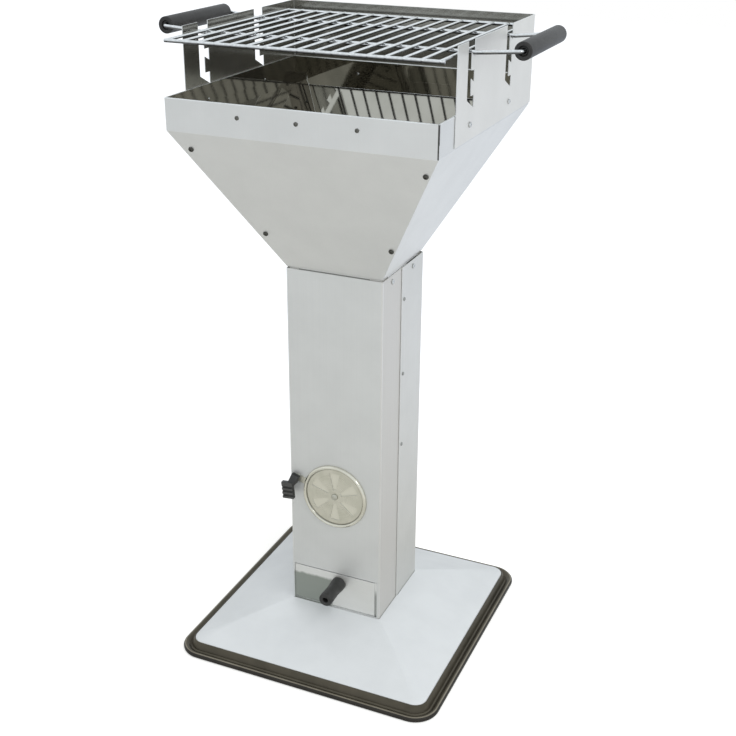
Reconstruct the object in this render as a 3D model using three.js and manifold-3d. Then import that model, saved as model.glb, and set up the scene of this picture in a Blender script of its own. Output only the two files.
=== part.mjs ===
// Pedestal charcoal grill folded from stainless steel sheet.
// A square skirt carries a column made of two channels, the column carries a four-sided funnel,
// and the funnel carries three wind guards with hook slots in which the cooking grid hangs.
// Millimetres, +Z up, front towards -Y, origin on the floor under the middle of the base.

import * as THREE from 'three';
import { mergeVertices } from 'three/addons/utils/BufferGeometryUtils.js';
import Module from 'manifold-3d';

const wasm = await Module();
wasm.setup();

// Overall
const totalHeight = 900;
const headWidth = 362;
const headDepth = 352.6;
const headShift = 4;

// Sheet and clearances
const sheet = 1;
const seamGap = 0.3;
const cutOverrun = 6;

// Column
const columnWidth = 144.6;
const columnDepth = 142.4;
const columnFoot = 14;
const columnTopDrop = 1.7;
const seamPlace = -7;
const seamLap = 19;

// Funnel and its upright band
const funnelHeight = 193.6;
const bandHeight = 40.9;
const collarDepth = 24;
const collarTabWidth = 104;
const flangeWidth = 20;
const flangeFoot = 14;
const hemThickness = 2.4;
const hemHeight = 24;

// Rivets through the hem of the front band
const bandRivetPitch = 79;
const bandRivetDrop = 16.5;

// Wind guards
const guardSheet = 1;
const guardLap = 38;
const guardRise = 78.5;
const guardSetback = 50.2;
const slotWidth = 13;
const toothReach = 11;
const notchHeight = 15;
const notchSlopeShare = 0.5;
const slotSlack = 0.35;
const levelStep = 30;
const levelCount = 3;

// Cooking grid
const gridWireDrop = 15;
const crossWireRadius = 2.5;
const crossWirePitch = 146;
const crossWireShift = 8;
const barRadius = 2;
const barPitch = 22;
const barCount = 17;
const edgeWireRadius = 2.4;
const frontWireRun = 5;
const rearWireRun = 1.8;
const gridDepth = 318;
const gridShift = -2;
const barShift = -1;
const weldSink = 0.9;
const gripReach = 240;
const gripRise = 5.5;
const gripFlare = 7;
const gripBend = 4;
const riseStart = 4;

// Grid grips
const gripRadius = 11;
const gripEdge = 1.6;
const gripBoreSlack = 0.3;
const gripEndGap = 0.3;

// Charcoal grate
const grateDrop = 90.6;
const grateFrameRadius = 3;
const grateBarRadius = 2.5;
const grateCorner = 14;
const grateBarCount = 11;
const grateTieCount = 2;

// Ash drawer
const drawerSill = 57;
const drawerDoorHeight = 60;
const drawerDoorWidth = 134;
const drawerFrontWidth = 130;
const drawerFrontShift = -1.5;
const drawerFrontGap = 1;
const drawerTrayWidth = 118;
const drawerTrayDepth = 128;
const drawerTrayHeight = 42;
const shelfFlange = 12;

// Drawer handle
const handleLength = 48;
const handleRootRadius = 10;
const handleWaistRadius = 7.4;
const handleEndRadius = 8.6;
const handleShift = 6;
const handleAxisHeight = 43.5;
const handleBoreRadius = 2.4;
const handleSocketRadius = 4.2;
const handleSocketDepth = 30;
const handleScrewRadius = 2;
const handleScrewHeadRadius = 3.6;
const handleScrewHeadHeight = 3;
const handleNutRadius = 4;
const handleNutHeight = 3.2;

// Air disc
const ventHeight = 247.5;
const discRadius = 50;
const discSheet = 1;
const beadWidth = 5.8;
const beadRise = 2.9;
const grooveRadius = 57;
const grooveWidth = 3.6;
const grooveDepth = 0.6;
const windowCount = 6;
const windowInner = 11;
const windowOuter = 38;
const windowAngle = 25;
const windowGuide = 30;
const pivotRadius = 2.5;
const pivotHeadRadius = 5;
const pivotHeadHeight = 2.2;
const armReach = 64;
const armAngle = 162.2;
const armWidth = 12;
const armLap = 3;

// Air knob
const knobWidth = 16.5;
const knobHeight = 26;
const knobDepth = 9.6;
const knobStandoff = 6.5;
const knobTilt = 8;
const knobBossLength = 14.4;
const knobBossWidth = 12.6;
const knobBossHeight = 6.4;
const knobBossShift = -0.4;
const knobNeckHeight = 7;
const knobNeckDepth = 5;
const knobNeckShare = 0.5;
const knobSpigotRadius = 2;
const knobShift = -5.9;
const knobDrop = 16.6;
const knobRibCount = 4;
const knobRibDepth = 1.2;
const knobRibShare = 0.55;

// Skirt and rim of the base
const baseTopWidth = 374.4;
const baseTopHeight = 17.6;
const skirtTop = 55.1;
const skirtCollar = 22;
const skirtLip = 11;
const rimWall = 1.3;
const rimSpread = 4.2;
const rimValley = 6.3;
const rimFlangeRun = 8;
const rimFlangeHeight = 5.1;
const rimFlangeSheet = 1.2;
const rimBeadRadius = 4.3;
const rimBeadCentre = 199.6;
const rimFlat = 5;
const rimCornerRadius = 36;
const openingCornerRadius = 2;

// Fasteners
const screwHeadRadius = 3.5;
const screwHeadHeight = 2;
const screwShankRadius = 1.7;
const rivetHeadRadius = 2.7;
const rivetHeadHeight = 1.2;
const rivetShankRadius = 1.5;
const shankSlack = 0.35;
const shankRun = 4.6;
const cornerScrewLeft = 13;
const cornerScrewRight = 6;
const cornerScrewUpper = 23.6;
const cornerScrewLower = 51.5;
const guardScrewPitch = 153;
const guardScrewDrop = 19.5;
const collarScrewDrop = 11;
const collarScrewPitch = 71;
const collarScrewShift = -3;
const seamRivetTop = 49.3;
const seamRivetPitch = 112;
const seamRivetInset = 9;
const seamRivetCount = 3;
const skirtScrewDrop = 13;

// Facets
const wireSides = 6;
const fastenerSides = 8;
const roundSides = 10;
const turnedSides = 28;
const cornerSteps = 4;
const bendSteps = 3;
const mergeTolerance = 1e-4;

// Levels and faces that follow from the sizes
const bandTop = totalHeight - guardRise;
const funnelTop = bandTop - bandHeight;
const funnelBottom = funnelTop - funnelHeight;
const guardFoot = bandTop - guardLap;
const guardInner = headWidth / 2 - guardSheet;
const bandSide = guardInner - seamGap;
const headFront = headShift - headDepth / 2;
const headRear = headShift + headDepth / 2;
const bandRear = headRear - guardSheet - seamGap;
const columnSide = columnWidth / 2;
const columnFace = columnDepth / 2;
const frontWallSide = columnSide - sheet - seamGap;
const columnInnerSide = frontWallSide - sheet;
const columnInnerFace = columnFace - sheet;
const collarSide = columnInnerSide - seamGap;
const collarFace = columnInnerFace - seamGap;
const gridWireLevel = totalHeight - gridWireDrop;
const grateLevel = funnelTop - grateDrop;
const barLevel = gridWireLevel + crossWireRadius + barRadius - weldSink;

// Finishes
const sheetFinish = { color: 0xc0c1be, roughness: 0.28, metalness: 0.95 };
const rimFinish = { color: 0x4b463c, roughness: 0.35, metalness: 0.8 };
const wireFinish = { color: 0xb9bdbd, roughness: 0.25, metalness: 0.95 };
const grateFinish = { color: 0x77787a, roughness: 0.4, metalness: 0.9 };
const discFinish = { color: 0xb0ae9f, roughness: 0.3, metalness: 0.9 };
const screwFinish = { color: 0x5c5d5a, roughness: 0.35, metalness: 0.9 };
const rivetFinish = { color: 0x8e8f8c, roughness: 0.3, metalness: 0.9 };
const plasticFinish = { color: 0x2b2a29, roughness: 0.5, metalness: 0 };

const model = new THREE.Group();

// Shape helpers

function points2(pairs) {
  return pairs.map(([u, v]) => new THREE.Vector2(u, v));
}

function offsetLine(line, distance) {
  const normals = line.slice(1).map((point, i) => {
    const along = point.clone().sub(line[i]).normalize();
    return new THREE.Vector2(-along.y, along.x);
  });
  return line.map((point, i) => {
    const before = normals[Math.max(i - 1, 0)];
    const after = normals[Math.min(i, normals.length - 1)];
    const mitre = before.clone().add(after).normalize();
    return point.clone().addScaledVector(mitre, distance / mitre.dot(before));
  });
}

function stripShape(line, near, far) {
  return new THREE.Shape([...offsetLine(line, near), ...offsetLine(line, far).reverse()]);
}

function rectangle(u0, v0, u1, v1) {
  return new THREE.Shape(points2([[u0, v0], [u1, v0], [u1, v1], [u0, v1]]));
}

function prism(shape, from, to, curveSegments = roundSides) {
  const geometry = new THREE.ExtrudeGeometry(shape, {
    depth: to - from, steps: 1, bevelEnabled: false, curveSegments,
  });
  return geometry.translate(0, 0, from);
}

// Prisms drawn in the YZ plane and in the XZ plane
const yzPlane = new THREE.Matrix4().makeBasis(
  new THREE.Vector3(0, 1, 0), new THREE.Vector3(0, 0, 1), new THREE.Vector3(1, 0, 0));
const xzPlane = new THREE.Matrix4().makeBasis(
  new THREE.Vector3(1, 0, 0), new THREE.Vector3(0, 0, 1), new THREE.Vector3(0, -1, 0));

function prismX(shape, from, to) {
  return prism(shape, from, to).applyMatrix4(yzPlane);
}

function prismY(shape, from, to) {
  return prism(shape, -to, -from).applyMatrix4(xzPlane);
}

function block(x0, x1, y0, y1, z0, z1) {
  return prism(rectangle(x0, y0, x1, y1), z0, z1);
}

function solid(geometry) {
  const bare = geometry.clone();
  bare.deleteAttribute('normal');
  bare.deleteAttribute('uv');
  const merged = mergeVertices(bare, mergeTolerance);
  return new wasm.Manifold(new wasm.Mesh({
    numProp: 3,
    vertProperties: new Float32Array(merged.attributes.position.array),
    triVerts: new Uint32Array(merged.index.array),
  }));
}

function union(forms) {
  return forms.reduce((whole, form) => whole.add(form));
}

function geometryOf(form) {
  const mesh = form.getMesh();
  const geometry = new THREE.BufferGeometry();
  geometry.setAttribute('position', new THREE.BufferAttribute(new Float32Array(mesh.vertProperties), 3));
  geometry.setIndex(new THREE.BufferAttribute(new Uint32Array(mesh.triVerts), 1));
  geometry.computeVertexNormals();
  return geometry;
}

function addPiece(parent, name, form, finish) {
  const geometry = form.isBufferGeometry ? form : geometryOf(form);
  const mesh = new THREE.Mesh(geometry, new THREE.MeshStandardMaterial(finish));
  mesh.name = name;
  parent.add(mesh);
  return mesh;
}

// Closed skin through rings of equally many points; the last ring joins the first
function ringLoft(rings) {
  const count = rings[0].length;
  const positions = rings.flat().flatMap((p) => [p.x, p.y, p.z]);
  const index = [];
  rings.forEach((ring, i) => {
    const here = i * count;
    const next = ((i + 1) % rings.length) * count;
    ring.forEach((point, j) => {
      const k = (j + 1) % count;
      index.push(here + j, next + j, next + k, here + j, next + k, here + k);
    });
  });
  const geometry = new THREE.BufferGeometry();
  geometry.setAttribute('position', new THREE.Float32BufferAttribute(positions, 3));
  geometry.setIndex(index);
  geometry.computeVertexNormals();
  return geometry;
}

// Round wire bent along a closed line of points
function wireLoop(path, radius, sides = wireSides) {
  const up = new THREE.Vector3(0, 0, 1);
  const rings = path.map((point, i) => {
    const back = path[(i + path.length - 1) % path.length];
    const ahead = path[(i + 1) % path.length];
    const along = ahead.clone().sub(back).normalize();
    const across = new THREE.Vector3().crossVectors(along, up).normalize();
    const rise = new THREE.Vector3().crossVectors(across, along);
    return Array.from({ length: sides }, (unused, j) => {
      const turn = ((j + 0.5) / sides) * Math.PI * 2;
      return point.clone()
        .addScaledVector(across, radius * Math.cos(turn))
        .addScaledVector(rise, radius * Math.sin(turn));
    });
  });
  return ringLoft(rings);
}

// Straight wire between two points
function wire(from, to, radius, sides = wireSides) {
  const along = to.clone().sub(from);
  const geometry = new THREE.CylinderGeometry(radius, radius, along.length(), sides);
  geometry.rotateY(Math.PI / sides);
  const turn = new THREE.Quaternion().setFromUnitVectors(new THREE.Vector3(0, 1, 0), along.normalize());
  return geometry.applyQuaternion(turn).translate(
    (from.x + to.x) / 2, (from.y + to.y) / 2, (from.z + to.z) / 2);
}

// Turned solid: the profile is given as [radius, distance along the axis] pairs
function turned(profile, sides = turnedSides) {
  return new THREE.LatheGeometry(points2(profile), sides);
}

// Holes and fasteners

function drilled(form, at, out, radius, sides = fastenerSides) {
  const half = out.clone().setLength(cutOverrun);
  return form.subtract(solid(wire(at.clone().sub(half), at.clone().add(half), radius, sides)));
}

const screwKind = {
  headRadius: screwHeadRadius, headHeight: screwHeadHeight, shankRadius: screwShankRadius,
  finish: screwFinish,
};
const rivetKind = {
  headRadius: rivetHeadRadius, headHeight: rivetHeadHeight, shankRadius: rivetShankRadius,
  finish: rivetFinish,
};

function addFastener(name, at, out, kind) {
  const domeShare = 0.62;
  const shoulderShare = 0.55;
  const form = turned([
    [0, -shankRun],
    [kind.shankRadius, -shankRun],
    [kind.shankRadius, seamGap],
    [kind.headRadius, seamGap],
    [kind.headRadius, seamGap + kind.headHeight * (1 - shoulderShare)],
    [kind.headRadius * domeShare, seamGap + kind.headHeight],
    [0, seamGap + kind.headHeight],
  ], fastenerSides);
  const mesh = addPiece(model, name, form, kind.finish);
  mesh.position.copy(at);
  mesh.quaternion.setFromUnitVectors(new THREE.Vector3(0, 1, 0), out);
  return mesh;
}

// Fastens sheets together: drills each one and leaves the fastener in the holes
function fasten(sheets, names, fastener, at, out, kind) {
  names.forEach((name) => {
    sheets[name] = drilled(sheets[name], at, out, kind.shankRadius + shankSlack);
  });
  addFastener(fastener, at, out, kind);
}

const sheets = {};

// Base

function roundedSquare(half, corner, level) {
  const ring = [];
  const quarter = Math.PI / 2;
  for (let side = 0; side < 4; side += 1) {
    const inset = half - corner;
    const centre = new THREE.Vector2(inset, inset).rotateAround(new THREE.Vector2(), side * quarter);
    for (let step = 0; step <= cornerSteps; step += 1) {
      const turn = side * quarter + (step / cornerSteps) * quarter;
      ring.push(new THREE.Vector3(
        centre.x + corner * Math.cos(turn), centre.y + corner * Math.sin(turn), level));
    }
  }
  return ring;
}

// Lofts a closed profile of [half width, level] pairs around a square with rounded corners
function squareLoft(profile, cornerAt) {
  return ringLoft(profile.map(([half, level]) => roundedSquare(half, cornerAt(half), level)));
}

function buildBase() {
  const wallTop = baseTopWidth / 2;
  const wallInner = wallTop - rimWall;
  const valley = rimBeadCentre - rimValley;
  const beadTurns = [130, 95, 60, 25, -10, -45];
  const bead = beadTurns.map((degrees) => {
    const turn = THREE.MathUtils.degToRad(degrees);
    return [rimBeadCentre + rimBeadRadius * Math.cos(turn), rimBeadRadius + rimBeadRadius * Math.sin(turn)];
  });
  const flangeUnder = rimFlangeHeight - rimFlangeSheet;
  const rimProfile = [
    [wallInner, rimFlangeHeight],
    [wallInner, baseTopHeight],
    [wallTop, baseTopHeight],
    [wallTop + rimSpread, rimFlangeHeight + rimWall],
    [valley, rimFlangeHeight],
    ...bead,
    [rimBeadCentre + rimFlat / 2, 0],
    [rimBeadCentre - rimFlat / 2, 0],
    [valley, flangeUnder],
    [wallInner - rimFlangeRun, flangeUnder],
    [wallInner - rimFlangeRun, rimFlangeHeight],
  ];
  const outerReach = rimBeadCentre + rimBeadRadius;
  const rim = squareLoft(rimProfile, (half) => rimCornerRadius - (outerReach - half));
  addPiece(model, 'base_rim', solid(rim), rimFinish);

  const lipOuter = wallInner - seamGap;
  const lipInner = lipOuter - sheet;
  const openingHalf = columnSide + seamGap;
  const slope = (skirtTop - baseTopHeight) / (lipOuter - openingHalf);
  const drop = sheet * Math.hypot(1, slope);
  const skirtProfile = [
    [openingHalf, skirtTop],
    [lipOuter, baseTopHeight],
    [lipOuter, baseTopHeight - skirtLip],
    [lipInner, baseTopHeight - skirtLip],
    [lipInner, baseTopHeight - drop + slope * sheet],
    [openingHalf + sheet, skirtTop - drop - slope * sheet],
    [openingHalf + sheet, skirtTop - skirtCollar],
    [openingHalf, skirtTop - skirtCollar],
  ];
  const lipCorner = rimCornerRadius - (outerReach - lipOuter);
  const skirtCorner = (half) => THREE.MathUtils.mapLinear(
    half, openingHalf, lipOuter, openingCornerRadius, lipCorner);
  sheets.base_skirt = solid(squareLoft(skirtProfile, skirtCorner));
}

// Column: the rear channel wraps outside the side walls of the front channel

function ventWindows(radiusInner, radiusOuter, firstAngle) {
  const half = THREE.MathUtils.degToRad(windowAngle / 2);
  return Array.from({ length: windowCount }, (unused, i) => {
    const middle = THREE.MathUtils.degToRad(firstAngle + (i * 360) / windowCount);
    const shape = new THREE.Shape();
    shape.absarc(0, 0, radiusOuter, middle - half, middle + half, false);
    shape.absarc(0, 0, radiusInner, middle + half, middle - half, true);
    return shape;
  });
}

// Ring of triangular section whose base lies on the plane at the distance given, point inwards
function grooveRing(distance) {
  const half = grooveWidth / 2;
  const ring = turned([
    [grooveRadius - half, distance],
    [grooveRadius, distance - grooveDepth],
    [grooveRadius + half, distance],
    [grooveRadius - half, distance],
  ]);
  return solid(ring.rotateX(Math.PI).translate(0, 0, ventHeight));
}

function channel(wallSide, faceY, wallEndY) {
  const out = Math.sign(faceY);
  const line = points2([
    [-wallSide, wallEndY], [-wallSide, faceY], [wallSide, faceY], [wallSide, wallEndY],
  ]);
  return solid(prism(stripShape(line, 0, out * -sheet), columnFoot, funnelBottom - columnTopDrop));
}

function buildColumn() {
  const wallEnd = seamPlace + seamLap;
  const doorway = block(-drawerDoorWidth / 2, drawerDoorWidth / 2, -columnFace - cutOverrun,
    -columnFace + cutOverrun, drawerSill, drawerSill + drawerDoorHeight);
  let front = channel(frontWallSide, -columnFace, wallEnd).subtract(solid(doorway));
  ventWindows(windowInner, windowOuter, 0).forEach((shape) => {
    const cutter = prismY(shape, -columnFace - cutOverrun, -columnFace + cutOverrun);
    front = front.subtract(solid(cutter.translate(0, 0, ventHeight)));
  });
  front = front.subtract(grooveRing(columnFace)).add(grooveRing(columnInnerFace));
  const pivot = new THREE.Vector3(0, -columnFace, ventHeight);
  sheets.column_front = drilled(front, pivot, new THREE.Vector3(0, -1, 0), pivotRadius + shankSlack);
  sheets.column_rear = channel(columnSide, columnFace, seamPlace);
}

// Funnel: each wall runs from a collar tab in the column, up the slope and into an upright band

function wallLine(collar, band) {
  return points2([
    [collar, funnelBottom - collarDepth],
    [collar, funnelBottom + seamGap],
    [band, funnelTop],
    [band, bandTop],
  ]);
}

const leftLine = wallLine(-collarSide, -bandSide);
const rightLine = wallLine(collarSide, bandSide);
const frontLine = wallLine(-collarFace, headFront);
const rearLine = wallLine(collarFace, bandRear);

// The outline between two wall lines, drawn in by a distance, with a narrow tab below the slope
function wallOutline(lowLine, highLine, inset) {
  const low = offsetLine(lowLine, -inset);
  const high = offsetLine(highLine, inset);
  const middle = (low[1].x + high[1].x) / 2;
  const tab = collarTabWidth / 2;
  return new THREE.Shape(points2([
    [middle - tab, low[0].y], [middle + tab, high[0].y],
    [middle + tab, high[1].y], [high[1].x, high[1].y],
    [high[2].x, high[2].y], [high[3].x, high[3].y],
    [low[3].x, low[3].y], [low[2].x, low[2].y],
    [low[1].x, low[1].y], [middle - tab, low[1].y],
  ]));
}

// A hem folded over along the top edge of a band
function hem(line, inward, grow) {
  const edge = line[3];
  const inner = edge.x + inward * (hemThickness + grow);
  const low = Math.min(edge.x, inner);
  const high = Math.max(edge.x, inner);
  return rectangle(low, edge.y - hemHeight - grow, high, edge.y);
}

function frontAndRearWalls() {
  const silhouette = wallOutline(leftLine, rightLine, 0);
  const outline = solid(prismY(silhouette, headFront - cutOverrun, headRear + cutOverrun));
  const walls = [['funnel_front', frontLine, 1], ['funnel_rear', rearLine, -1]];
  walls.forEach(([name, line, inward]) => {
    const skin = solid(prismX(stripShape(line, 0, -inward * sheet), -bandSide, bandSide));
    const fold = solid(prismX(hem(line, inward, 0), -bandSide, bandSide));
    sheets[name] = skin.intersect(outline).add(fold);
  });
}

function sideWalls() {
  const reach = headWidth / 2;
  const outline = solid(prismX(wallOutline(frontLine, rearLine, sheet + seamGap), -reach, reach));
  const hemRoom = [[frontLine, 1], [rearLine, -1]].map(([line, inward]) => (
    solid(prismX(hem(line, inward, seamGap), -reach, reach))));
  const sides = [['funnel_left', leftLine, 1], ['funnel_right', rightLine, -1]];
  sides.forEach(([name, line, inward]) => {
    const edges = [headFront, headRear];
    const skin = solid(prismY(stripShape(line, 0, -inward * sheet), ...edges)).intersect(outline);
    const fold = solid(prismY(hem(line, inward, 0), ...edges)).intersect(outline);
    const corner = solid(prismY(stripShape(line, 0, -inward * flangeWidth), ...edges));
    const flanges = [[frontLine, 1], [rearLine, -1]].map(([across, turn]) => {
      const lining = stripShape(across, -turn * (sheet + seamGap), -turn * (sheet * 2 + seamGap));
      const low = funnelBottom + flangeFoot;
      const high = bandTop - hemHeight - seamGap;
      const span = solid(block(-reach, reach, headFront, headRear, low, high));
      return solid(prismX(lining, -reach, reach)).intersect(corner).intersect(span);
    });
    const whole = union([skin, fold, ...flanges]);
    sheets[name] = hemRoom.reduce((form, room) => form.subtract(room), whole);
  });
}

function bandRivets() {
  const level = bandTop - bandRivetDrop;
  const places = [['left', -1], ['middle', 0], ['right', 1]];
  places.forEach(([hand, place]) => {
    const at = new THREE.Vector3(place * bandRivetPitch, headFront, level);
    fasten(sheets, ['funnel_front'], `band_rivet_${hand}`, at, new THREE.Vector3(0, -1, 0), rivetKind);
  });
}

// Wind guards

// Height of a wire in the corner of a notch above the corner itself
function seatRise() {
  const reach = crossWireRadius + slotSlack;
  return reach * (notchSlopeShare + Math.hypot(1, notchSlopeShare));
}

// The slot's edge, from the top of the guard down its rear side and up its front side
function slotEdge(wirePlace) {
  const rear = wirePlace + crossWireRadius + slotSlack;
  const tip = rear - toothReach;
  const front = tip - slotWidth;
  const edge = [[rear, totalHeight]];
  for (let level = 0; level < levelCount; level += 1) {
    const floor = gridWireLevel - level * levelStep - seatRise();
    if (level > 0) {
      edge.push([tip, floor + notchHeight], [rear, floor + notchHeight]);
    }
    edge.push([rear, floor]);
    if (level < levelCount - 1) {
      edge.push([tip, floor + notchSlopeShare * toothReach]);
    } else {
      edge.push([front, floor + notchSlopeShare * (toothReach + slotWidth)]);
    }
  }
  edge.push([front, totalHeight]);
  return edge;
}

const frontWirePlace = crossWireShift - crossWirePitch / 2;
const rearWirePlace = crossWireShift + crossWirePitch / 2;

function buildGuards() {
  const guardFront = headFront + guardSetback;
  const sideShape = new THREE.Shape(points2([
    [guardFront, totalHeight],
    [guardFront, guardFoot],
    [headRear, guardFoot],
    [headRear, totalHeight],
    ...slotEdge(rearWirePlace),
    ...slotEdge(frontWirePlace),
  ]));
  sheets.wind_guard_left = solid(prismX(sideShape, -headWidth / 2, -guardInner));
  sheets.wind_guard_right = solid(prismX(sideShape, guardInner, headWidth / 2));
  sheets.wind_guard_rear = solid(block(
    -bandSide, bandSide, headRear - guardSheet, headRear, guardFoot, totalHeight));
}

// Fasteners of the sheets

function slopeFrame(line, drop) {
  const top = line[2];
  const foot = line[1];
  const share = drop / (top.y - foot.y);
  const along = foot.clone().sub(top).normalize();
  const place = top.clone().lerp(foot, share);
  const out = new THREE.Vector2(-along.y, along.x).multiplyScalar(Math.sign(top.x));
  return { place, out };
}

function cornerScrews() {
  const drops = [['upper', cornerScrewUpper], ['lower', funnelHeight - cornerScrewLower]];
  const walls = [
    ['front', frontLine, { left: cornerScrewLeft, right: cornerScrewRight }],
    ['rear', rearLine, { left: cornerScrewLeft, right: cornerScrewLeft }],
  ];
  walls.forEach(([wall, line, insets]) => {
    drops.forEach(([height, drop]) => {
      [['left', leftLine], ['right', rightLine]].forEach(([hand, sideLine]) => {
        const { place, out } = slopeFrame(line, drop);
        const edge = slopeFrame(sideLine, drop).place.x;
        const across = edge - Math.sign(edge) * insets[hand];
        fasten(sheets, [`funnel_${wall}`, `funnel_${hand}`], `corner_screw_${wall}_${hand}_${height}`,
          new THREE.Vector3(across, place.x, place.y), new THREE.Vector3(0, out.x, out.y), screwKind);
      });
    });
  });
}

function guardScrews() {
  const level = bandTop - guardScrewDrop;
  [-1, 1].forEach((place) => {
    const end = place < 0 ? 'front' : 'rear';
    const along = headShift + (place * guardScrewPitch) / 2;
    [['left', -1], ['right', 1]].forEach(([hand, side]) => {
      fasten(sheets, [`wind_guard_${hand}`, `funnel_${hand}`], `guard_screw_${hand}_${end}`,
        new THREE.Vector3((side * headWidth) / 2, along, level), new THREE.Vector3(side, 0, 0), screwKind);
    });
    const hand = place < 0 ? 'left' : 'right';
    const across = (place * guardScrewPitch) / 2;
    fasten(sheets, ['wind_guard_rear', 'funnel_rear'], `guard_screw_rear_${hand}`,
      new THREE.Vector3(across, headRear, level), new THREE.Vector3(0, 1, 0), screwKind);
  });
}

function columnFasteners() {
  [['left', -1], ['right', 1]].forEach(([hand, side]) => {
    const out = new THREE.Vector3(side, 0, 0);
    [-1, 1].forEach((place) => {
      const end = place < 0 ? 'front' : 'rear';
      const channelName = `column_${end}`;
      const face = place < 0 ? frontWallSide : columnSide;
      const at = new THREE.Vector3(side * face, collarScrewShift + (place * collarScrewPitch) / 2,
        funnelBottom - collarScrewDrop);
      fasten(sheets, [channelName, `funnel_${hand}`], `collar_screw_${hand}_${end}`, at, out, screwKind);
    });
    for (let i = 0; i < seamRivetCount; i += 1) {
      const at = new THREE.Vector3(side * columnSide, seamPlace + seamRivetInset,
        funnelBottom - seamRivetTop - i * seamRivetPitch);
      fasten(sheets, ['column_front', 'column_rear'], `seam_rivet_${hand}_${i + 1}`, at, out, rivetKind);
    }
  });
}

// Inside the skirt, one screw a side ties the skirt's collar to the column
function skirtScrews() {
  const level = skirtTop - skirtScrewDrop;
  const reach = columnSide + seamGap + sheet;
  const sides = [
    ['front', 'column_front', new THREE.Vector3(0, -1, 0)],
    ['rear', 'column_rear', new THREE.Vector3(0, 1, 0)],
    ['left', 'column_rear', new THREE.Vector3(-1, 0, 0)],
    ['right', 'column_rear', new THREE.Vector3(1, 0, 0)],
  ];
  sides.forEach(([name, channelName, out]) => {
    const at = out.clone().multiplyScalar(reach).setZ(level);
    if (Math.abs(out.x) > 0) {
      at.y = columnFace / 2;
    }
    fasten(sheets, ['base_skirt', channelName], `skirt_screw_${name}`, at, out, screwKind);
  });
}

// Cooking grid: one wire bent into a loop with a grip at each end, and bars welded across it

function cornerArc(centreX, centreY, from, to, level) {
  return Array.from({ length: bendSteps + 1 }, (unused, i) => {
    const turn = THREE.MathUtils.degToRad(THREE.MathUtils.lerp(from, to, i / bendSteps));
    return new THREE.Vector3(
      centreX + gripBend * Math.cos(turn), centreY + gripBend * Math.sin(turn), level);
  });
}

function buildCookingGrid() {
  const grid = new THREE.Group();
  model.add(grid);
  const rise = gridWireLevel + gripRise;
  const near = headWidth / 2 + riseStart;
  const turnX = gripReach - gripBend;
  const turnFront = frontWirePlace - gripFlare + gripBend;
  const turnRear = rearWirePlace + gripFlare - gripBend;
  const path = [
    new THREE.Vector3(-near, frontWirePlace, gridWireLevel),
    new THREE.Vector3(near, frontWirePlace, gridWireLevel),
    ...cornerArc(turnX, turnFront, -90, 0, rise),
    ...cornerArc(turnX, turnRear, 0, 90, rise),
    new THREE.Vector3(near, rearWirePlace, gridWireLevel),
    new THREE.Vector3(-near, rearWirePlace, gridWireLevel),
    ...cornerArc(-turnX, turnRear, 90, 180, rise),
    ...cornerArc(-turnX, turnFront, 180, 270, rise),
  ];
  const gridFront = gridShift - gridDepth / 2;
  const gridRear = gridShift + gridDepth / 2;
  const outer = ((barCount - 1) * barPitch) / 2;
  const forms = [solid(wireLoop(path, crossWireRadius))];
  for (let i = 0; i < barCount; i += 1) {
    const x = barShift + i * barPitch - outer;
    forms.push(solid(wire(
      new THREE.Vector3(x, gridFront, barLevel), new THREE.Vector3(x, gridRear, barLevel), barRadius)));
  }
  [[gridFront, frontWireRun], [gridRear, rearWireRun]].forEach(([y, run]) => {
    forms.push(solid(wire(
      new THREE.Vector3(barShift - outer - run, y, barLevel - weldSink),
      new THREE.Vector3(barShift + outer + run, y, barLevel - weldSink), edgeWireRadius)));
  });
  addPiece(grid, 'cooking_grid', union(forms), wireFinish);

  const bore = crossWireRadius + gripBoreSlack;
  const half = (turnRear - turnFront) / 2 - gripEndGap;
  const sleeve = turned([
    [bore, -half],
    [gripRadius - gripEdge, -half],
    [gripRadius, -half + gripEdge],
    [gripRadius, half - gripEdge],
    [gripRadius - gripEdge, half],
    [bore, half],
    [bore, -half],
  ], roundSides * 2);
  [['left', -1], ['right', 1]].forEach(([hand, side]) => {
    const grip = addPiece(grid, `grid_grip_${hand}`, sleeve.clone(), plasticFinish);
    grip.position.set(side * gripReach, (turnFront + turnRear) / 2, rise);
  });
}

// Charcoal grate: a square wire frame resting on the four slopes

function slopeInnerAt(line, level, reach) {
  const inward = -Math.sign(line[2].x);
  const inner = offsetLine(line, -inward * (sheet + seamGap + reach));
  const share = (level - inner[1].y) / (inner[2].y - inner[1].y);
  return THREE.MathUtils.lerp(inner[1].x, inner[2].x, share);
}

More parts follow.
